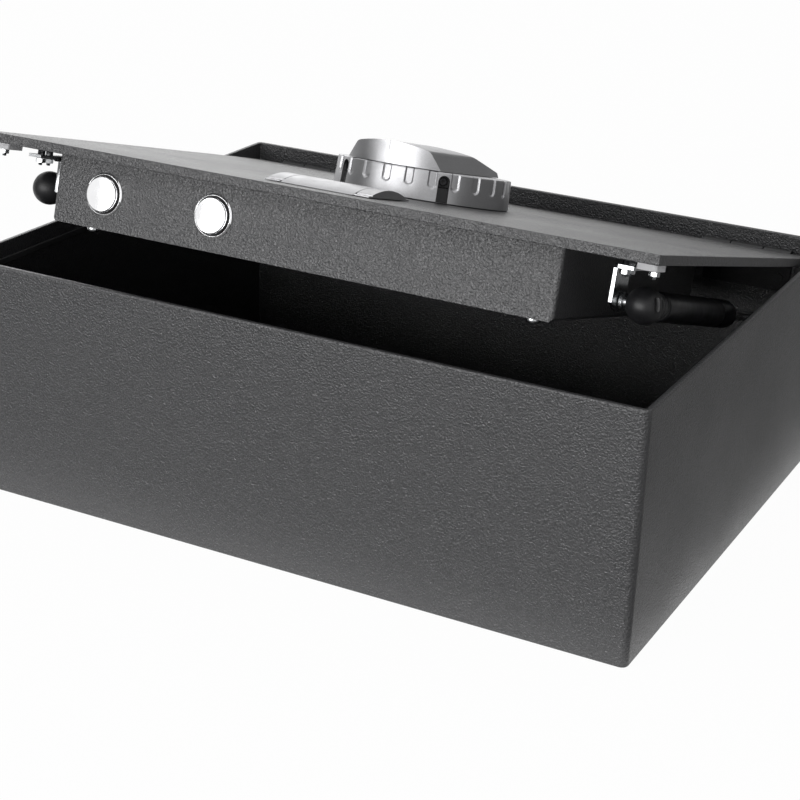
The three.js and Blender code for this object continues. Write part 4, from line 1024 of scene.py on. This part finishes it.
# %% The tree that repeats a fastener
def make_repeat_tree():
    inputs = [
        ("Shape", "NodeSocketObject"),
        ("Up", "NodeSocketVector"),
        ("Spin", "NodeSocketFloat"),
        ("Seed", "NodeSocketInt"),
        ("Material", "NodeSocketMaterial"),
    ]
    tree, source, target = geometry_tree("repeat_at_points", inputs)
    given = source.outputs
    shape = place(tree, "GeometryNodeObjectInfo", {"Object": given["Shape"]})
    aim = place(tree, "GeometryNodeInputNamedAttribute", {"Name": "aim"}, data_type="FLOAT_VECTOR")
    facing = place(
        tree,
        "FunctionNodeAlignRotationToVector",
        {"Vector": aim.outputs["Attribute"]},
        axis="Z",
    )
    upright = place(
        tree,
        "FunctionNodeAlignRotationToVector",
        {"Rotation": facing.outputs[0], "Vector": given["Up"]},
        axis="Y",
        pivot_axis="Z",
    )
    chance = place(
        tree,
        "FunctionNodeRandomValue",
        {"Min": 0.0, "Max": given["Spin"], "Seed": given["Seed"]},
        data_type="FLOAT",
    )
    value = next(socket for socket in chance.outputs if socket.enabled)
    spin = place(tree, "ShaderNodeCombineXYZ", {2: value})
    local = place(tree, "FunctionNodeEulerToRotation", {0: spin.outputs[0]})
    both = place(
        tree,
        "FunctionNodeRotateRotation",
        {0: upright.outputs[0], 1: local.outputs[0]},
        rotation_space="LOCAL",
    )
    copies = place(
        tree,
        "GeometryNodeInstanceOnPoints",
        {
            "Points": given["Geometry"],
            "Instance": shape.outputs["Geometry"],
            "Rotation": both.outputs[0],
        },
    )
    close_tree(tree, copies.outputs["Instances"], source, target)
    return tree


REPEAT = make_repeat_tree()


def repeat(shape, points, aims, finish, up=(0, 1, 0), spin=0.0, seed=1):
    """One mesh with a copy of the shape at every point: z along the point's aim, y nearest to up."""
    model = bpy.data.objects.new("model", shape)
    bpy.context.scene.collection.objects.link(model)
    carrier = bpy.data.meshes.new("points")
    carrier.from_pydata([tuple(point) for point in points], [], [])
    aim = carrier.attributes.new("aim", "FLOAT_VECTOR", "POINT")
    aim.data.foreach_set("vector", [v for direction in aims for v in direction])
    values = {"Shape": model, "Up": up, "Spin": spin, "Seed": seed, "Material": FINISH[finish]}
    made = grow(REPEAT, carrier, **values)
    bpy.data.objects.remove(model)
    return made


print("tree", REPEAT.name, len(REPEAT.nodes), "nodes")

# %% [markdown]
# A liner is an arched plate, trimmed to a ramp and bored for its screw. The screw is a turned head
# with a crossed recess. Both are drawn once, and the tree above sets the four copies in their slots.
# Each screw gets a chance turn from a fixed seed. The screws keep the record's slot for steel and wear
# a blacked finish.

# %% Liners and screws of the unit
UNIT_INNER = TOP_RADIUS - SLOT_DEPTH
WELL = 2.5 * MM
SCREW_RADIUS = 2.1 * MM
SCREW_TOP = 0.8 * MM


def recess(width, depth, top):
    """Two crossed bars that cut a cross into a screw's head."""
    bars = [(width / 2, 0.13 * width), (0.13 * width, width / 2)]
    return [block((-x, -y, top - depth), (x, y, top + MM)) for x, y in bars]


foot = 0.25 * MM - SLOT_SCREW_HEIGHT
crown = SLOT_TOP - SLOT_SCREW_HEIGHT - 0.08 * MM
half = SLOT_WIDTH / 2 - 0.06 * MM
liner = extrude(arch(half, foot, crown), 0.05 * MM, 3 * MM)
ramp = [
    (foot - MM, 0),
    (foot - MM, 2.7 * MM),
    (foot + 0.8 * MM, 2.6 * MM),
    (-WELL - 0.9 * MM, 1.5 * MM),
    (-WELL - 0.3 * MM, 1.9 * MM),
    (crown + MM, 1.9 * MM),
    (crown + MM, 0),
]
liner = combine(liner, "INTERSECT", [extrude(ramp, -half - MM, half + MM, "x")])
liner = cut(liner, drill(WELL, 0.25 * MM, 4 * MM, (0, 0, 0)))
liner = soften(liner, 0.18 * MM, 2)
aims = [slot_axes(i).to_3x3() @ Vector((0, 1, 0)) for i in range(4)]
spots = [aim * UNIT_INNER + Vector((0, 0, SLOT_SCREW_HEIGHT)) for aim in aims]
liners = repeat(liner, spots, aims, "black_plastic", up=(0, 0, 1))
report(add_piece("slot_liners", liners, UNIT_SPACE, "lid", "black_plastic"))

profile = [(0, 0.3 * MM), (SCREW_RADIUS - 0.1 * MM, 0.3 * MM), (SCREW_RADIUS, 0.4 * MM)]
profile += arc((SCREW_RADIUS - 0.4 * MM, 0.6 * MM), 0.4 * MM, 0, 90, 5)
profile += [(0, SCREW_TOP)]
head = smooth(cut(lathe(profile, 40), *recess(2.6 * MM, 0.55 * MM, SCREW_TOP)), 40)
heads = repeat(head, spots, aims, "black_steel", up=(0, 0, 1), spin=2 * pi, seed=5)
slot_screw_nodes = [f"module_screw_{i + 1}" for i in range(4)]
slot_screws = add_piece("module_screws_skin", heads, UNIT_SPACE, "lid", "steel", *slot_screw_nodes)
slot_screws.data.materials[0] = FINISH["black_steel"]
report(slot_screws)

# %% [markdown]
# The hood is where three shapes meet: a crowned band with drafted sides, a round plan that makes its
# front wall, and a profile that runs level and then slopes down to the rear. Its shoulders are
# blended, and a fine bevel breaks the crease above the front wall.

# %% Hood
HOOD_FOOT = Vector((28.3 * MM, 16.7 * MM))
HOOD_SHOULDER = Vector((22 * MM, 26.2 * MM))
HOOD_CROWN = 28.7 * MM
HOOD_RADIUS = 47.9 * MM
HOOD_END = Vector((47.6 * MM, 17.3 * MM))
HOOD_BLEND = 1.8 * MM
POCKET_SIZE = (9.8 * MM, 12.3 * MM)
GLASS_SIZE = (9.5 * MM, 12 * MM)


def curve(a, control, b, steps):
    """Points on a curve that leaves a and reaches b along lines through the control point."""
    shares = [i / steps for i in range(steps + 1)]
    return [tuple((1 - t) ** 2 * a + 2 * t * (1 - t) * control + t * t * b) for t in shares]


rise = HOOD_CROWN - HOOD_SHOULDER.y
crown_radius = (HOOD_SHOULDER.x**2 + rise**2) / (2 * rise)
crown_centre = HOOD_CROWN - crown_radius


def crown_point(x):
    """Where the crowned top of the band lies at this distance from its middle."""
    return Vector((x, crown_centre + sqrt(crown_radius**2 - x * x)))


lean = (HOOD_SHOULDER - HOOD_FOOT).normalized()
side = [tuple(HOOD_FOOT)]
flat = HOOD_SHOULDER.x - HOOD_BLEND
side += curve(HOOD_SHOULDER - lean * HOOD_BLEND, HOOD_SHOULDER, crown_point(flat), 6)
top_points = [tuple(crown_point(flat - 2 * flat * i / 28)) for i in range(1, 28)]
across = side + top_points + [(-x, z) for x, z in reversed(side)]
along = [(-60 * MM, 15 * MM), (-60 * MM, 36 * MM), (-12 * MM, 36 * MM)]
along += [(-11 * MM, HOOD_CROWN + 0.2 * MM)]
along += curve(
    Vector((-5 * MM, HOOD_CROWN + 0.1 * MM)),
    Vector((3.5 * MM, HOOD_CROWN + 0.1 * MM)),
    Vector((12 * MM, 26.87 * MM)),
    12,
)
along += [tuple(HOOD_END), (HOOD_END.x, 15 * MM)]
band = extrude(across, -60 * MM, 60 * MM, "y")
plan = lathe([(0, 10 * MM), (HOOD_RADIUS, 10 * MM), (HOOD_RADIUS, 40 * MM), (0, 40 * MM)], 288)
hood = combine(band, "INTERSECT", [extrude(along, -40 * MM, 40 * MM, "x"), plan])

glass_low, glass_high = measure("fingerprint_scanner", UNIT_SPACE)
lens_low, lens_high = measure("status_light", UNIT_SPACE)
slope = atan2(HOOD_CROWN - HOOD_END.y, HOOD_END.x - 4 * MM)
TILT = Matrix.Rotation(-slope, 4, "X")
glass_at = Matrix.Translation((glass_low + glass_high) / 2) @ TILT
lens_at = Matrix.Translation((lens_low + lens_high) / 2) @ TILT
pocket = rounded(-POCKET_SIZE[0], POCKET_SIZE[0], -POCKET_SIZE[1], POCKET_SIZE[1], 1.5 * MM)
pocket = extrude(pocket, -1.2 * MM, 9 * MM)
well = drill(1.9 * MM, -1.6 * MM, 9 * MM, (0, 0, 0), 40)
hood = soften(cut(hood, moved(pocket, glass_at), moved(well, lens_at)), 0.3 * MM, 3)
stand_in("module_hood", hood, UNIT_SPACE, "lid")

pane = rounded(-GLASS_SIZE[0], GLASS_SIZE[0], -GLASS_SIZE[1], GLASS_SIZE[1], 1.3 * MM)
glass = soften(extrude(pane, -0.9 * MM, 0.9 * MM), 0.25 * MM)
dot = [(0, -1.25 * MM), (1.6 * MM, -1.25 * MM), (1.6 * MM, 0.9 * MM)]
dot += [(1.2 * MM, 1.2 * MM), (0, 1.25 * MM)]
lens = smooth(lathe(dot, 40))
scanner_at = UNIT_SPACE @ glass_at
report(add_piece("scanner_skin", glass, scanner_at, "lid", "scanner_glass", "fingerprint_scanner"))
stand_in("status_light", lens, UNIT_SPACE @ lens_at, "lid")

# %% [markdown]
# The key lock sits under a low arch near the front edge. Two end blocks stay on the lid, and the
# middle part lifts off: it has a short slot at its crest.

# %% Key lock and its cover
ARCH_HALF = 22.5 * MM
ARCH_RISE = 4.4 * MM
ARCH_PLATE = 0.8 * MM
ARCH_INSET = 4 * MM
ARCH_HEM = 3.5 * MM
ARCH_SHEET = 1.2 * MM
BLOCK_LENGTH = 9 * MM
TONGUE = 15 * MM
KEY_BORE = 9.3 * MM
COVER_PLAY = 0.3 * MM
NOTCH = (-18.75 * MM, -13.75 * MM)

base_low, base_high = measure("key_base", LID)
KEY_SPACE = LID @ Matrix.Translation((KEY.x, KEY.y, base_low.z))
reach = (base_high.x - base_low.x) / 2
arch_radius = (ARCH_HALF**2 + ARCH_RISE**2) / (2 * ARCH_RISE)


def arch_line(half_width, lift, steps):
    """The crown of the cover from one side to the other."""
    offsets = [half_width - 2 * half_width * i / steps for i in range(steps + 1)]
    return [(y, ARCH_RISE - arch_radius + sqrt(arch_radius**2 - y * y) + lift) for y in offsets]


blocks = []
for sign in (-1, 1):
    near, far = sorted((sign * (reach - BLOCK_LENGTH), sign * reach))
    outline = arch_line(ARCH_HALF - ARCH_INSET, 0, 44)
    outline += [(ARCH_INSET - ARCH_HALF, ARCH_PLATE / 2), (ARCH_HALF - ARCH_INSET, ARCH_PLATE / 2)]
    blocks += [
        extrude(outline, near, far, "x"),
        block((near, -ARCH_HALF, 0), (far, ARCH_HALF, ARCH_PLATE)),
    ]
tongue = block((MM - reach, -TONGUE, 0), (reach - MM, TONGUE, ARCH_PLATE))
key_base = cut(join(tongue, *blocks), drill(KEY_BORE, -MM, 5 * MM, (0, 0, 0), 64))
key_base = soften(key_base, 0.25 * MM, 2)
stand_in("key_base", key_base, KEY_SPACE, "lid")

cover_reach = reach - BLOCK_LENGTH - COVER_PLAY
shield = arch_line(ARCH_HALF, 0, 60) + arch_line(ARCH_HALF - ARCH_HEM, -ARCH_SHEET, 50)[::-1]
key_cover = extrude(shield, -cover_reach, cover_reach, "x")
notch = block((NOTCH[0], -MM, 0), (NOTCH[1], MM, 9 * MM))
key_cover = soften(cut(key_cover, notch), 0.18 * MM, 2, 24)
stand_in("key_cover", key_cover, KEY_SPACE, "key_cover")
for node, width, body in (("key_barrel", 0.2 * MM, "lid"), ("key_plug", 0.15 * MM, "key_plug")):
    lay_skin(node, body, width, limit=30)

# %% [markdown]
# The front corners carry the struts. Each has a folded bracket on two spacers, a foam pad and three
# nuts with the ends of their studs showing. Shapes are drawn for the right side, and the left side
# gets them mirrored.

# %% Brackets, pads and ball studs
MIRROR = Matrix.Scale(-1, 4, RIGHT)
BRACKET_SHEET = 1.8 * MM
BEND = 2.4 * MM
BEND_RADII = (BEND, BEND - BRACKET_SHEET)
CORNER_CUT = (5.7 * MM, 11 * MM)
LEG_FALL = (8.5 * MM, 4.8 * MM)
SPACER = 2 * MM
BALL = 5 * MM
STUD_COLLAR = (4.2 * MM, 4.6 * MM)
STUD_NECK = 2.8 * MM
PAD_CORNER = 1.2 * MM

bracket_low, bracket_high = measure("strut_bracket_right", LID)
leg = bracket_low.x
front = bracket_low.y
studs = []
for end in ("front", "rear"):
    nut_low, nut_high = measure(f"bracket_nut_right_{end}", LID)
    studs.append((nut_low + nut_high) / 2)
flange_low = nut_high.z + 0.3 * MM
flange_high = flange_low + BRACKET_SHEET
fold = [(bracket_high.x, flange_high)]
fold += arc((leg + BEND, flange_high - BEND), BEND_RADII[0], 90, 180, 8)
fold += [(leg, bracket_low.z), (leg + BRACKET_SHEET, bracket_low.z)]
fold += arc((leg + BEND, flange_high - BEND), BEND_RADII[1], 180, 90, 4)
fold += [(bracket_high.x, flange_low)]


def bracket_mesh():
    """A sheet folded down along its inner edge, with a slanted front corner and a falling foot."""
    sheet = extrude(fold, front, bracket_high.y, "y")
    slant = CORNER_CUT[0] / CORNER_CUT[1]
    corner = [
        (leg - slant * MM, front + CORNER_CUT[1] + MM),
        (leg - slant * MM, front - MM),
        (leg + CORNER_CUT[0] + slant * MM, front - MM),
    ]
    leg_front = front + CORNER_CUT[1]
    foot = [
        (leg_front - MM, bracket_low.z - MM),
        (leg_front - MM, bracket_low.z + LEG_FALL[1] * (1 + MM / LEG_FALL[0])),
        (leg_front + LEG_FALL[0], bracket_low.z),
        (leg_front + LEG_FALL[0], bracket_low.z - MM),
    ]
    low = (leg - MM, front - MM, bracket_low.z - MM)
    below = block(low, (leg + BEND, leg_front, flange_low - 0.7 * MM))
    sheet = cut(
        sheet,
        extrude(corner, bracket_low.z - MM, flange_high + MM),
        extrude(foot, leg - MM, leg + BEND, "x"),
        below,
    )
    spacers = [
        drill(SPACER, flange_high - 0.5 * MM, bracket_high.z, (stud.x, stud.y, 0), 32)
        for stud in studs
    ]
    return smooth(join(soften(sheet, 0.18 * MM, 2, 40), *spacers), 30)


stud_low, stud_high = measure("ball_stud_right", LID)
ball_x = stud_high.x - BALL
stud_middle = (0, (stud_low.y + stud_high.y) / 2, (stud_low.z + stud_high.z) / 2)
stud_at = Matrix.Translation(stud_middle) @ ALONG_X
edge, collar = STUD_COLLAR
stud_profile = [(0, stud_low.x), (edge, stud_low.x), (collar, stud_low.x + 0.4 * MM)]
stud_profile += [(collar, stud_low.x + 1.8 * MM), (edge, stud_low.x + 2.2 * MM)]
stud_profile += [(STUD_NECK, stud_low.x + 2.2 * MM)]
stud_profile += [(BALL * sin(radians(a)), ball_x - BALL * cos(radians(a))) for a in range(34, 180, 8)]
stud_profile += [(0, ball_x + BALL)]
pad_low, pad_high = measure("corner_pad_right", LID)
for side, turn in (("right", WORLD), ("left", MIRROR)):
    space = LID @ turn
    pad = rounded(pad_low.x, pad_high.x, pad_low.y, pad_high.y, PAD_CORNER)
    pad = soften(extrude(pad, pad_low.z, pad_high.z), 0.35 * MM)
    stand_in(f"strut_bracket_{side}", bracket_mesh(), space, "lid")
    stand_in(f"corner_pad_{side}", pad, space, "lid")
    stand_in(f"ball_stud_{side}", smooth(lathe(stud_profile, 48), 40), space @ stud_at, "lid")

# %% [markdown]
# A nut is a hexagon trimmed by a turned dome, with the end of its stud in the same mesh. The thread
# is drawn as five rings, not as a spiral. The tree that repeats a fastener sets all six nuts at the
# places of their nodes, and then the two screws of the bottom cover.

# %% Nuts and cover screws
NUT_FLATS = 4.5 * MM
NUT_HEIGHT = 2.2 * MM
THREAD = 1.2 * MM
THREAD_PITCH = 0.6 * MM
THREAD_DEPTH = 0.22 * MM
THREAD_RINGS = 5
STUD_PROUD = 1.4 * MM

corner = NUT_FLATS / 2 / cos(pi / 6)
hexagon = [(corner * cos(a * pi / 3), corner * sin(a * pi / 3)) for a in range(6)]
dome = [(0, 0), (NUT_FLATS / 2, 0), (corner, 0.3 * MM), (corner, NUT_HEIGHT - 0.3 * MM)]
dome += [(NUT_FLATS / 2, NUT_HEIGHT), (0, NUT_HEIGHT)]
nut = combine(extrude(hexagon, -MM, NUT_HEIGHT + MM), "INTERSECT", [lathe(dome, 60)])
thread_end = NUT_HEIGHT + STUD_PROUD
thread = [(0, 0.5 * MM)]
for i in range(THREAD_RINGS):
    height = 0.6 * MM + i * THREAD_PITCH
    thread += [(THREAD, height), (THREAD - THREAD_DEPTH, height + THREAD_PITCH / 2)]
thread += [(THREAD - 0.1 * MM, thread_end - 0.25 * MM)]
thread += [(THREAD - 0.45 * MM, thread_end), (0, thread_end)]
nut = smooth(join(nut, lathe(thread, 32)), 25)
nut_nodes = [f"bracket_nut_{side}_{end}" for side in ("left", "right") for end in ("front", "rear")]
nut_nodes += ["pad_nut_left", "pad_nut_right"]
tops = []
for node in nut_nodes:
    low, high = measure(node, LID)
    tops.append(Vector(((low.x + high.x) / 2, (low.y + high.y) / 2, high.z)))
DOWN = Vector((0, 0, -1))
nuts = repeat(nut, tops, [DOWN] * len(tops), "zinc", spin=pi / 3, seed=11)
report(add_piece("nuts_skin", nuts, LID, "lid", "zinc", *nut_nodes))

HEAD = 3.2 * MM
HEAD_HEIGHT = 2.6 * MM
HEAD_SIDE = 0.9 * MM
HEAD_ROUND = 1.6 * MM
HEAD_CROWN = 2.5 * MM
SCREW_SHANK = 1.5 * MM
SCREW_LENGTH = 6.8 * MM
profile = [(0, -SCREW_LENGTH), (SCREW_SHANK, -SCREW_LENGTH), (SCREW_SHANK, 0)]
profile += [(HEAD, 0), (HEAD, HEAD_SIDE)]
profile += arc((HEAD - HEAD_ROUND, HEAD_SIDE), HEAD_ROUND, 0, 90, 7)[1:]
profile += [(0, HEAD_CROWN)]
screw = smooth(cut(lathe(profile, 48), *recess(3.2 * MM, 1.1 * MM, HEAD_CROWN)), 40)
cover_screw_nodes = ["cover_screw_left", "cover_screw_right"]
seats = []
for node in cover_screw_nodes:
    low, high = measure(node, LID)
    seats.append(Vector(((low.x + high.x) / 2, (low.y + high.y) / 2, low.z + HEAD_HEIGHT)))
cover_screws = repeat(screw, seats, [DOWN] * 2, "zinc", spin=pi, seed=3)
report(add_piece("cover_screws_skin", cover_screws, LID, "lid", "zinc", *cover_screw_nodes))

# %% [markdown]
# Each strut is drawn along its own axis, from the centre of the ball. The socket is a moulded ball
# cup with a seam, a slot for its safety clip and two shallow grooves. The tube has a crimp and a
# rolled end, and the rod is ground bright.

# %% Gas struts
CUP = 9.25 * MM
SHANK = 6.6 * MM
SHANK_END = 17 * MM
SEAM = 0.7 * MM
TUBE = 7.5 * MM
TUBE_START = 17.3 * MM
TUBE_END = 135 * MM
CRIMP = 113 * MM
ROD = 3 * MM
PISTON = (92 * MM, 98 * MM, 5.6 * MM)
ROD_END = 7 * MM
ROD_END_FLAT = 6 * MM
ROD_COLLAR = (4 * MM, 4.4 * MM, 16 * MM)
BALL_ROOM = 5.4 * MM
NECK_ROOM = 4 * MM
CLIP_HALF = 3.4 * MM

cup = []
for degree in range(0, 124, 4):
    radius, height = CUP * sin(radians(degree)), -CUP * cos(radians(degree))
    cup.append((radius, height))
    if degree == 92:
        step = 0.6 * MM
        cup += [(radius - SEAM / 2, height + 0.05 * MM), (radius - SEAM / 2, height + step - 0.05 * MM)]
cup += [tuple(p) for p in curve(Vector(cup[-1]), Vector((SHANK, 7 * MM)), Vector((SHANK, 9 * MM)), 5)][1:]
for ring in (11 * MM, 13.5 * MM):
    cup += [(SHANK, ring), (SHANK - 0.35 * MM, ring + 0.1 * MM)]
    cup += [(SHANK - 0.35 * MM, ring + 0.9 * MM), (SHANK, ring + MM)]
cup += [(SHANK, SHANK_END - 0.5 * MM), (SHANK - 0.5 * MM, SHANK_END), (0, SHANK_END)]

tube = [(0, TUBE_START), (TUBE - 1.2 * MM, TUBE_START)]
tube += arc((TUBE - 1.2 * MM, TUBE_START + 1.2 * MM), 1.2 * MM, -90, 0, 6)[1:]
tube += [(TUBE, CRIMP - 1.2 * MM), (TUBE - 0.45 * MM, CRIMP - 0.6 * MM), (TUBE - 0.7 * MM, CRIMP)]
tube += [(TUBE - 0.45 * MM, CRIMP + 0.6 * MM), (TUBE, CRIMP + 1.2 * MM), (TUBE, TUBE_END - 2 * MM)]
tube += arc((TUBE - 2 * MM, TUBE_END - 2 * MM), 2 * MM, 0, 90, 6)[1:]
tube += [(ROD + 0.3 * MM, TUBE_END), (ROD + 0.3 * MM, TUBE_END - 4 * MM)]
tube += [(6 * MM, TUBE_END - 4 * MM), (6 * MM, 40 * MM), (0, 40 * MM)]


def ball_mesh(radius, centre=0.0, sides=48):
    points = [(radius * sin(radians(a)), centre - radius * cos(radians(a))) for a in range(0, 181, 6)]
    return lathe(points, sides)


CLIP_TURN = Matrix.Rotation(radians(-12), 4, "Y")
for side, turn in (("right", WORLD), ("left", MIRROR)):
    space = STRUT[side] @ turn
    neck = [(0, -11 * MM), (NECK_ROOM, -11 * MM), (NECK_ROOM, 0), (0, 0)]
    neck = moved(lathe(neck, 40), ALONG_X)
    clip = block((6.6 * MM, -6.2 * MM, -CLIP_HALF), (12 * MM, -3.3 * MM, CLIP_HALF))
    tab = block((8.5 * MM, -3.3 * MM, -CLIP_HALF), (12 * MM, 1.4 * MM, CLIP_HALF))
    clip, tab = moved(clip, CLIP_TURN), moved(tab, CLIP_TURN)
    ball_room = moved(ball_mesh(BALL_ROOM), ALONG_Y)
    socket = cut(moved(lathe(cup, 96), ALONG_Y), ball_room, neck, clip, tab)
    end = measure(f"strut_rod_{side}", STRUT[side])[1].y - ROD_END
    rod = [(0, PISTON[0]), (PISTON[2], PISTON[0]), (PISTON[2], PISTON[1]), (ROD, PISTON[1])]
    rod += [(ROD, end - ROD_COLLAR[2]), (ROD_COLLAR[0], end - ROD_COLLAR[2])]
    rod += [(ROD_COLLAR[1], end - 15.6 * MM), (ROD_COLLAR[1], end), (0, end)]
    shaft = join(lathe(rod, 48), ball_mesh(ROD_END, end))
    flat = block((ROD_END_FLAT, end - 20 * MM, -20 * MM), (12 * MM, end + 20 * MM, 20 * MM))
    shaft = cut(moved(shaft, ALONG_Y), flat)
    stand_in(f"strut_socket_{side}", smooth(socket, 35), space, f"strut_{side}")
    stand_in(f"strut_tube_{side}", smooth(lathe(tube, 72), 40), space @ ALONG_Y, f"strut_{side}")
    stand_in(f"strut_rod_{side}", smooth(shaft, 35), space, f"strut_rod_{side}")

# %% [markdown]
# What is left shows only from behind, from below or not at all: the hinges, and what is inside the
# lock housing. These keep the shapes of their nodes, with their edges broken so that they catch light.

# %% Hinges and the inside of the lock
for node, width, body in (
    ("hinge_case_leaf_left", 0.25 * MM, "case"),
    ("hinge_case_leaf_right", 0.25 * MM, "case"),
    ("hinge_pin_left", 0.2 * MM, "case"),
    ("hinge_pin_right", 0.2 * MM, "case"),
    ("hinge_lid_leaf_left", 0.25 * MM, "lid"),
    ("hinge_lid_leaf_right", 0.25 * MM, "lid"),
    ("gear_motor", 0.3 * MM, "lid"),
    ("battery", 1.2 * MM, "lid"),
    ("battery_holder", 0.3 * MM, "lid"),
    ("control_board", 0.2 * MM, "lid"),
    ("bolt_bar", 0.12 * MM, "bolt_carriage"),
    ("motor_pinion", 0.1 * MM, "pinion"),
    ("enrol_button", 0.2 * MM, "enrol_button"),
):
    lay_skin(node, body, width, limit=30)

# %% [markdown]
# The stage is a wide pale floor and soft light from large panels. Rays that leave the scene find
# white, so the background stays clean, and metal has something bright to reflect. The floor is mostly
# white to the camera, with enough real shading left in it to ground the safe.

# %% Floor and world
FLOOR_REACH = 6.0
FLOOR_SINK = 0.0002
bm = bmesh.new()
bmesh.ops.create_grid(bm, x_segments=2, y_segments=2, size=FLOOR_REACH)
floor_mesh = bpy.data.meshes.new("floor")
bm.to_mesh(floor_mesh)
bm.free()
floor = bpy.data.objects.new("floor", floor_mesh)
floor.location.z = -FLOOR_SINK
bpy.context.scene.collection.objects.link(floor)
floor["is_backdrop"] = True

FLOOR_GLOW = 0.97
DIFFUSE_SKY = 0.45


def seen_directly(tree):
    """1 on rays from the camera, or by way of metal or glass, and 0 on rays that only light things."""
    rays = tree.nodes.new("ShaderNodeLightPath")
    seen = rays.outputs["Is Camera Ray"]
    for kind in ("Is Glossy Ray", "Is Transmission Ray"):
        both = {0: seen, 1: rays.outputs[kind]}
        seen = place(tree, "ShaderNodeMath", both, operation="MAXIMUM").outputs[0]
    return seen


material = bpy.data.materials.new("studio_floor")
material.use_nodes = True
tree = material.node_tree
tree.nodes.clear()
out = tree.nodes.new("ShaderNodeOutputMaterial")
paper = tree.nodes.new("ShaderNodeBsdfDiffuse")
where = tree.nodes.new("ShaderNodeTexCoord").outputs["Object"]
cloud = use_group(tree, SMUDGE, where, Size=0.4, Low=0.0, High=1.0)
tone = blend_tone(tree, cloud.outputs["Value"], (0.86, 0.86, 0.86), (0.9, 0.9, 0.9))
tree.links.new(tone, paper.inputs["Color"])
glow = place(tree, "ShaderNodeEmission", {"Color": (1, 1, 1, 1), "Strength": 1.0})
share = place(
    tree, "ShaderNodeMath", {0: seen_directly(tree), 1: FLOOR_GLOW}, operation="MULTIPLY"
)
shaders = {0: share.outputs[0], 1: paper.outputs[0], 2: glow.outputs[0]}
mix = place(tree, "ShaderNodeMixShader", shaders)
tree.links.new(mix.outputs[0], out.inputs["Surface"])
floor_mesh.materials.append(material)

world = bpy.data.worlds.new("studio")
world.use_nodes = True
bpy.context.scene.world = world
tree = world.node_tree
tree.nodes.clear()
out = tree.nodes.new("ShaderNodeOutputWorld")
strength = place(
    tree, "ShaderNodeMapRange", {"Value": seen_directly(tree), "To Min": DIFFUSE_SKY, "To Max": 1.0}
)
sky = place(tree, "ShaderNodeBackground", {"Color": (1, 1, 1, 1), "Strength": strength.outputs["Result"]})
tree.links.new(sky.outputs[0], out.inputs["Surface"])
print("floor and world ready")

# %% [markdown]
# A wide panel stands in front, a smaller one hangs above, and a third stands behind on the left. Five
# dark cards, three upright and two on the floor, give the silver and the chrome something to fall off
# into. The cards are hidden from the camera and from diffuse light, and cast no shadow.

# %% Lights
LIGHTS = [
    # name, place, aim, width, height, power
    ("front_panel", (-0.45, -2.35, 0.6), (0.0, 0.0, 0.15), 2.2, 0.9, 34.0),
    ("high_panel", (-0.5, -1.3, 2.3), (0.0, 0.0, 0.1), 1.6, 1.0, 10.0),
    ("rear_panel", (-1.7, 2.0, 0.6), (0.0, 0.0, 0.15), 1.5, 1.0, 5.5),
]
CARD_TONE = (0.16, 0.24)
CARD_THICKNESS = MM / 5
CARDS = [
    # name, place, aim, width, height
    ("right_card", (1.6, 0.5, 0.6), (0.0, 0.0, 0.15), 2.6, 1.4),
    ("back_card", (0.45, 2.0, 0.6), (0.0, 0.0, 0.15), 2.2, 1.4),
    ("left_card", (-1.7, -0.7, 0.6), (0.0, 0.0, 0.15), 1.3, 1.4),
    ("low_right_card", (0.96, 0.6, 0.0005), (0.96, 0.6, 1.0), 1.5, 2.0),
    ("low_front_card", (-0.4, -0.8, 0.0005), (-0.4, -0.8, 1.0), 2.6, 1.25),
]


def facing(spot, target):
    """A matrix that stands at a spot and looks at a target."""
    turn = (Vector(target) - Vector(spot)).to_track_quat("-Z", "Y")
    return Matrix.Translation(spot) @ turn.to_matrix().to_4x4()


for name, spot, target, width, height, power in LIGHTS:
    lamp = bpy.data.lights.new(name, "AREA")
    lamp.shape = "RECTANGLE"
    lamp.size = width
    lamp.size_y = height
    lamp.energy = power
    panel = bpy.data.objects.new(name, lamp)
    panel.matrix_world = facing(spot, target)
    bpy.context.scene.collection.objects.link(panel)

dark = bpy.data.materials.new("studio_card")
dark.use_nodes = True
tree = dark.node_tree
tree.nodes.clear()
out = tree.nodes.new("ShaderNodeOutputMaterial")
where = tree.nodes.new("ShaderNodeTexCoord").outputs["Object"]
cloud = use_group(tree, SMUDGE, where, Size=0.3, Low=CARD_TONE[0], High=CARD_TONE[1])
shade = place(tree, "ShaderNodeEmission", {"Color": (1, 1, 1, 1), "Strength": cloud.outputs["Value"]})
tree.links.new(shade.outputs[0], out.inputs["Surface"])
for name, spot, target, width, height in CARDS:
    sheet_mesh = block((-width / 2, -height / 2, 0), (width / 2, height / 2, CARD_THICKNESS))
    card = bpy.data.objects.new(name, sheet_mesh)
    card.data.materials.append(dark)
    card.matrix_world = facing(spot, target)
    bpy.context.scene.collection.objects.link(card)
    card.visible_camera = False
    card.visible_diffuse = False
    card.visible_shadow = False
    card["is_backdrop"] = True
print("lights", len(LIGHTS), "cards", len(CARDS))

# %% [markdown]
# Last, the box of the dressed safe is held against the box of the frame it was built on, and the largest change of
# a side is printed.

shown_box = [list(corner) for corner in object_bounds()]
grow_by = max(abs(a - b) for one, two in zip(cad_box, shown_box) for a, b in zip(one, two))
print("largest change of a side", round(1000 * grow_by, 3), "mm")
